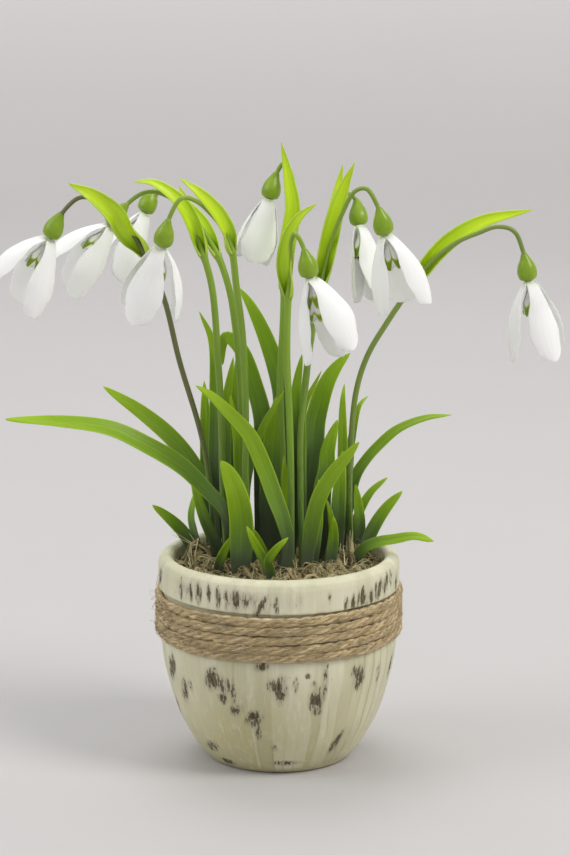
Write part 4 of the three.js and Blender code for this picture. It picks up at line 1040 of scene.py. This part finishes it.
def pot_profile():
    """Radius and height round the wall, from the middle of the foot to that of the floor."""
    corners = np.concatenate([
        [(0.5, 0.6), (22, 0.6), (23.5, 0)], spline_profile(POT_BELLY, 14),
        [(POT_WAIST, TWINE_BOTTOM + 0.3), (POT_WAIST, TWINE_TOP),
         (POT_RIM - 0.1, TWINE_TOP + 0.5), (POT_RIM, POT_LIP), (POT_RIM - 0.5, POT_LIP + 2),
         (POT_RIM - 1.7, POT_HEIGHT - 0.45), (POT_RIM - 3, POT_HEIGHT),
         (POT_MOUTH + 0.4, POT_HEIGHT - 0.1), (POT_MOUTH - 0.7, POT_HEIGHT - 1.3)],
        spline_profile(POT_INSIDE, 10)[::-1], [(0.5, 6)]])
    reach = np.concatenate([[0], np.cumsum(np.linalg.norm(np.diff(corners, axis=0), axis=1))])
    fine = np.arange(0, reach[-1], OUTLINE_STEP)
    line = np.stack([np.interp(fine, reach, corners[:, k]) for k in range(2)], -1)
    # Corners are rounded with a bell of weights, and the inside then keeps fewer points.
    span = 14
    weights = np.exp(-(np.arange(-span, span + 1) * OUTLINE_STEP / OUTLINE_ROUNDING) ** 2)
    padded = np.pad(line, ((span, span), (0, 0)), "edge")
    line = np.stack([np.convolve(padded[:, k], weights / weights.sum(), "valid")
                     for k in range(2)], -1)
    outside = np.arange(len(line)) * OUTLINE_STEP < POT_OUTSIDE
    keep = np.cumsum(np.where(outside, 1 / 5, 1 / 16))
    chosen = np.unique(np.searchsorted(keep, np.arange(0, keep[-1])))
    return line[np.append(chosen, len(line) - 1)]


def circular(degrees):
    """An angle brought between -180 and 180 degrees."""
    return (degrees + 180) % 360 - 180


def worn_spots(rng):
    """The tabled worn places, and seeded ones on the side away from the viewer."""
    spots = list(WORN)
    for _ in range(60):
        at_rim = rng.uniform() < 0.42
        middle = rng.uniform(74, 286)
        level = rng.uniform(67, 70) if at_rim else rng.uniform(6, 43)
        spots.append((middle, level, rng.uniform(0.8, 2.2), rng.uniform(2.2, 5.5 - 2 * at_rim),
                      rng.uniform(0.45, 1), rng.uniform(-0.5, 1)))
    return spots


def make_pot(material):
    rng = np.random.default_rng(POT_SEED)
    profile = pot_profile()
    turn = np.linspace(0, 1, POT_AROUND, endpoint=False)[None]
    radius, height = profile[:, :1], profile[:, 1:]
    outer = np.arange(len(profile))[:, None] < np.argmax(height)
    slope = np.gradient(profile, axis=0)
    normal = unit(np.stack([slope[:, 1], -slope[:, 0]], -1))

    def noise(cells, tall):
        """Noise with so many cells round the pot, each so tall."""
        return lattice_noise(rng, turn * cells, height / tall, cells,
                             math.ceil(POT_HEIGHT / tall), wrap=True)

    # Brushed planks of uneven width: edges holds where they meet, in degrees.
    degrees = circular(turn * 360 + 90)
    edges = np.cumsum(rng.uniform(3.6, 8.5, 80))
    edges = edges[edges < 356] - 180
    drift = wobble(rng, height / POT_HEIGHT, 1.1, 1.1)
    away = np.full((len(profile), POT_AROUND), 9.0)
    tones = rng.uniform(-1, 1, len(edges) + 1)
    tones[-1] = tones[0]
    tone = np.full(away.shape, tones[0])
    for k, edge in enumerate(edges):
        bend = edge + drift * rng.uniform(-1, 1) + wobble(rng, height / POT_HEIGHT, 3, 0.35)
        deep = 1 + 1.6 * rng.uniform() ** 2
        away = np.minimum(away, np.abs(circular(degrees - bend)) * deep)
        tone += (tones[k + 1] - tones[k]) * smoothstep(degrees - bend, -1, 1)
    strength = noise(22, 22)
    # The planks are faint at the left of the front and on the rim band.
    calm = ((1 - 0.75 * np.exp(-((degrees + 48) / 34) ** 2))
            * (1 - 0.7 * smoothstep(height, 62, 70)))
    groove = (1 - smoothstep(away, 0.1, 1.7)) * smoothstep(strength, -0.7, 0.7) * calm
    tone *= (0.55 + 0.45 * smoothstep(strength, -0.6, 0.6)) * calm
    relief = 0.13 * tone - 0.2 * groove + 0.07 * noise(170, 16) * calm

    worn = np.zeros(away.shape)
    for middle, level, half_wide, half_tall, force, slant in worn_spots(rng):
        rise = (height - level) / half_tall
        off = circular(degrees - middle) * math.pi / 180 * radius - slant * rise
        wider, taller = (1.35, 1.35) if level > 60 else (1.6, 1.15)
        distance = np.sqrt((off / half_wide / wider) ** 2 + (rise / taller) ** 2)
        worn = np.maximum(worn, force * (1 - smoothstep(distance, 0.1, 1.5)))
    worn = np.clip(worn * (0.8 + 0.45 * noise(300, 2.6)), 0, 1) * outer

    fade = outer * smoothstep(height, 0.5, 3) * (1 - smoothstep(height, 72.2, 74))
    move = relief * fade - 0.16 * smoothstep(worn, 0.25, 0.6) * fade
    ring_radius = np.maximum(radius + normal[:, :1] * move, 0.01)
    angle = turn * 2 * math.pi
    rings = np.stack([ring_radius * np.cos(angle), ring_radius * np.sin(angle),
                      height + normal[:, 1:] * move], -1)
    sheaf = Sheaf()
    sheaf.add(rings, groove * fade, tone * fade, worn)
    sheaf.place("pot_glazed", "pot", "glazed_pot", material)


def twine_line(turns):
    """The middle of the twine, turns of it from its start, and the way out of the pot."""
    climb = np.clip(turns, 0.5, TWINE_TURNS - 0.5) - 0.5
    angle = 2 * math.pi * (turns + TWINE_START)
    out = np.stack([np.cos(angle), np.sin(angle), 0 * angle], -1)
    middle = out * TWINE_MIDDLE
    middle[..., 2] = TWINE_BOTTOM + TWINE_TALL / 2 + climb * TWINE_PITCH
    return middle, out


def add_plies(sheaf, rng, length):
    steps = round(length / TWINE_STEP)
    share = np.linspace(0, 1, steps)
    middle, out = twine_line(share * TWINE_TURNS)
    middle[:, 2] += wobble(rng, share, 34, 0.16)
    middle += out * wobble(rng, share, 50, 0.05)[:, None]
    swell = 1 + wobble(rng, share, 70, 0.07)
    for ply in range(TWINE_PLIES):
        lay = 2 * math.pi * (share * length / TWINE_LAY + ply / TWINE_PLIES)
        lay = lay + wobble(rng, share, 40, 0.3)
        path = middle + out * (PLY_OUT * np.cos(lay))[:, None]
        path[:, 2] += PLY_UP * np.sin(lay)
        radius = PLY_RADIUS * swell * (1 + wobble(rng, share, 110, 0.06))
        ends = np.minimum(1, np.minimum(share, 1 - share) * steps / 5 + 0.3)
        sheaf.add_strands(path[None], (radius * ends)[None], out[None], share * 60,
                          rng.uniform(0.35, 0.6), sides=12)


def add_loose_fibres(sheaf, rng, length):
    """Short fibres that lie along the twine and stand off it a little."""
    def draw(low, high):
        return rng.uniform(low, high, TWINE_FIBRES)[:, None]

    t = np.linspace(0, 1, 5)
    start, run = draw(0.01, 0.97), draw(2.5, 9) / length
    paths, away = twine_line((start + run * t) * TWINE_TURNS)
    tilt = draw(-1.5, 1.5)
    lift = 1.12 + draw(0, 0.5) * np.sin(math.pi * t) + draw(-0.15, 0.35) * t
    paths += away * lift[..., None]
    paths[..., 2] += tilt * 0.9 + draw(-1.1, 1.1) * (t - 0.3)
    paths[..., 2] = np.clip(paths[..., 2], TWINE_BOTTOM - 0.9, TWINE_TOP + 0.7)
    radii = draw(0.05, 0.11) * (1 - 0.7 * t)
    sheaf.add_strands(paths, radii, away, t * 3, rng.uniform(0.6, 1, TWINE_FIBRES), sides=3)


def add_curls(sheaf, rng):
    """Longer fibres that curl away from the twine, most of them at the left."""
    t = np.linspace(0, 1, 26)
    for _ in range(TWINE_CURLS):
        side = 180 + rng.normal(0, 26) if rng.uniform() < 0.6 else rng.uniform(0, 360)
        start = math.radians(side)
        swirl = start + rng.uniform(-0.16, 0.16) * t + 0.05 * np.sin(t * rng.uniform(3, 9))
        reach = rng.uniform(0.6, 3.4) * (1 - 0.5 * abs(math.sin(start)))
        far = (POT_WAIST + TWINE_THICK + TWINE_CLEAR + 0.1
               + reach * np.sin(t * rng.uniform(1.2, 2.9)) * t**0.5)
        tall = (TWINE_BOTTOM + rng.uniform(0.5, 4.6) * TWINE_PITCH
                + rng.uniform(-3, 7) * t * (1.3 - t) + 0.8 * np.sin(t * rng.uniform(2, 10)))
        path = np.stack([far * np.cos(swirl), far * np.sin(swirl), tall], -1)
        radii = rng.uniform(0.09, 0.17) * (1 - 0.5 * t)
        sheaf.add_strands(path[None], radii[None], np.array([0.2, 0.3, 0.9]), t * 3, 1, sides=5)


def make_twine(material):
    rng = np.random.default_rng(TWINE_SEED)
    length = 2 * math.pi * TWINE_MIDDLE * TWINE_TURNS
    sheaf = Sheaf()
    add_plies(sheaf, rng, length)
    add_loose_fibres(sheaf, rng, length)
    add_curls(sheaf, rng)
    sheaf.place("jute_twine_plies", "jute_twine", "jute", material)


def heaped_height(x, y):
    """The coir's height with its clumps on it."""
    lumps = (np.sin(x * 0.33 + 1.1) * np.cos(y * 0.29 - 0.6)
             + 0.6 * np.sin(x * 0.71 - y * 0.53 + 2))
    heap = 0
    for middle_x, middle_y, radius, height in CLUMPS:
        near = np.clip(1 - ((x - middle_x) ** 2 + (y - middle_y) ** 2) / radius**2, 0, 1)
        heap = np.maximum(heap, height * near**0.7)
    return COIR_TOP + COIR_LUMP * lumps + heap


def make_coir_bed(rng, material):
    share = np.linspace(1, 0.01, COIR_RINGS)[:, None]
    angle = all_round(COIR_AROUND)[None]
    x, y = COIR_EDGE * share * np.cos(angle), COIR_EDGE * share * np.sin(angle)
    rough = sum(size * lattice_noise(rng, (x + 40) / cell, (y + 40) / cell, cells, cells)
                for cell, cells, size in COIR_ROUGH)
    top = heaped_height(x, y) - 0.9 + rough * smoothstep(share, 1.02, 0.9)
    rings = np.stack([x, y, top], -1)
    rings = np.concatenate([rings[:1], rings])
    rings[0, :, 2] = COIR_FOOT
    sheaf = Sheaf()
    # Its tint makes the bed lighter where it rises and darker in its hollows: painted light and
    # shade.
    sheaf.add(rings, 0.2, 0, np.pad(0.25 + 0.2 * rough, ((1, 0), (0, 0))))
    sheaf.place("coir_bed", "coir_moss", "coir", material)


def add_coir(sheaf, rng, layer, sides):
    """A layer of fibres that curl and lie across each other on the bed."""
    count, spread, lengths, thick, arch, flat, tints = layer
    t = np.linspace(0, 1, 8)

    def draw(low, high):
        return rng.uniform(low, high, count)[:, None]

    far = spread * np.sqrt(draw(0, 1))
    around = draw(0, 2 * math.pi)
    heading = draw(0, 2 * math.pi) + draw(-1.6, 1.6) * t
    step = draw(*lengths) / (len(t) - 1)
    x = far * np.cos(around) + np.cumsum(np.cos(heading) * step, 1)
    y = far * np.sin(around) + np.cumsum(np.sin(heading) * step, 1)
    squeeze = np.minimum(1, COIR_EDGE / np.sqrt(x**2 + y**2))
    x, y = x * squeeze, y * squeeze
    rise = draw(*arch) * np.sin(math.pi * t) + draw(-0.3, 1.4)
    paths = np.stack([x, y, heaped_height(x, y) - 0.4 + rise], -1)
    radii = draw(*thick) * (1 - 0.55 * np.abs(2 * t - 1) ** 2.5)
    up = unit(np.array([0, 0, 1.0]) + rng.normal(0, 0.35, (count, 1, 3)))
    sheaf.add_strands(paths, radii, up, t * 3, rng.uniform(*tints, count), sides, flat)


def add_straws(sheaf, rng, straw):
    """Three straws that stray from one foot, or a single one if it is a broad sheath."""
    foot_x, foot_y, heading, length, lift, thick = straw
    count, wild, darkest, taper, flat = (
        (1, 0.15, 0.5, 4, 0.25) if thick > STRAW_THICKEST else (3, 1, 0.85, 1, 0.6))
    t = np.linspace(0, 1, 9)
    for _ in range(count):
        way = math.radians(heading + rng.uniform(-35, 35))
        steep = math.radians(lift + rng.uniform(-18, 18) * wild)
        reach = length * rng.uniform(0.7, 1) * t
        bow = rng.uniform(-2.2, 2.2) * t**2
        path = np.stack([
            foot_x + math.cos(way) * math.cos(steep) * reach - math.sin(way) * bow,
            foot_y + math.sin(way) * math.cos(steep) * reach + math.cos(way) * bow,
            heaped_height(foot_x, foot_y) - 1 + math.sin(steep) * reach
            - rng.uniform(0, 2.5) * t**2], -1)
        # It stays inside the pot's mouth below the rim.
        inside = np.minimum(1, (COIR_EDGE + 0.1) / np.hypot(path[:, 0], path[:, 1]))
        path[:, :2] *= np.where(path[:, 2] < POT_HEIGHT + 1, inside, 1)[:, None]
        radii = thick * rng.uniform(0.5, 1) * (1 - 0.8 * t**taper)
        sheaf.add_strands(path[None], radii[None], np.array([0.3, -0.9, 0.3]), t * 3,
                          rng.uniform(darkest, 1), 8, flat)


def make_coir(bed_material, chip_material, fibre_material):
    rng = np.random.default_rng(COIR_SEED)
    make_coir_bed(rng, bed_material)
    chips, fibres = Sheaf(), Sheaf()
    for layer in CHIPS:
        add_coir(chips, rng, layer, sides=8)
    chips.place("coir_chips", "coir_moss", "coir", chip_material)
    for layer in FIBRES:
        add_coir(fibres, rng, layer, sides=4)
    for straw in STRAWS + SHEATHS:
        add_straws(fibres, rng, straw)
    fibres.place("coir_fibres", "coir_moss", "coir", fibre_material)


# ---------------------------------------------------------------- floor, light and camera

def make_floor():
    """A pale floor that curves up into a low wall all round, well behind the camera."""
    bend = np.linspace(0, math.pi / 2, 24)
    curve = np.stack([FLOOR_FLAT + FLOOR_BEND * np.sin(bend),
                      FLOOR_BEND - FLOOR_BEND * np.cos(bend)], -1)
    rings = [(0.5, 0), (1.0, 0), (1.35, 0), *curve, (2.6, 1.3)]
    around = range(FLOOR_AROUND)
    angles = all_round(FLOOR_AROUND)
    points = [(r * math.cos(a), r * math.sin(a), z - FLOOR_DROP)
              for r, z in rings for a in angles]
    faces = [list(around)]
    for ring in range(len(rings) - 1):
        low, high = ring * FLOOR_AROUND, (ring + 1) * FLOOR_AROUND
        for k in around:
            after = (k + 1) % FLOOR_AROUND
            faces.append([low + k, high + k, high + after, low + after])
    add_mesh("floor", points, faces, [floor_material()])


def make_light():
    for name, spot, target, size, power, colour in LIGHTS:
        light = bpy.data.lights.new(name, "AREA")
        light.shape, light.size, light.energy, light.color = "DISK", size, power, colour
        lamp = add_object(name, light)
        lamp.location = spot
        aim = Vector(target) - Vector(spot)
        lamp.rotation_euler = aim.to_track_quat("-Z", "Y").to_euler()
    world = bpy.data.worlds.new("soft_room")
    world.use_nodes = True
    background = world.node_tree.nodes["Background"]
    background.inputs["Color"].default_value = (1, 1, 1, 1)
    background.inputs["Strength"].default_value = WORLD
    bpy.context.scene.world = world
    bpy.context.scene.view_settings.view_transform = "Standard"


def make_camera():
    data = bpy.data.cameras.new("camera")
    data.sensor_fit, data.sensor_height, data.lens = "VERTICAL", 36, CAMERA_LENS
    data.clip_start, data.clip_end = 0.05, 50
    camera = add_object("camera", data)
    camera.location = CAMERA_PLACE
    camera.rotation_euler = (math.radians(90 - CAMERA_DOWN), 0, 0)
    bpy.context.scene.camera = camera


# ---------------------------------------------------------------- the whole scene

make_camera()
make_light()
make_floor()

make_pot(pot_material())
make_twine(fibre_material("jute", (166, 141, 96), (217, 196, 151), (242, 229, 194)))
make_coir(fibre_material("coir_bed", (50, 43, 26), (92, 79, 49), (154, 138, 95)),
          fibre_material("coir_chips", (74, 63, 38), (158, 143, 99), (210, 198, 151)),
          fibre_material("coir_fibres", (95, 83, 49), (176, 162, 108), (236, 231, 184)))
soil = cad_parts["soil"].data
soil.materials.clear()
soil.materials.append(soil_material())

leaf = leaf_material()
for number, entry in enumerate(LEAVES, 1):
    make_leaf(entry, number, leaf)
stalk = [stem_material(), ovary_material()]
lime = spathe_material()
white = tepal_material()
single = marked_material("snowdrop_inner", [(0.85, 0.19, 0.24)])
double = marked_material("snowdrop_inner_double", [(0.5, 0.15, 0.12), (0.88, 0.1, 0.08)])
for number, entry in enumerate(FLOWERS, 1):
    make_stalk(entry, number, stalk)
    make_spathe(entry, number, lime)
    make_bloom(entry, number, [white, double if number == TWICE_MARKED else single])
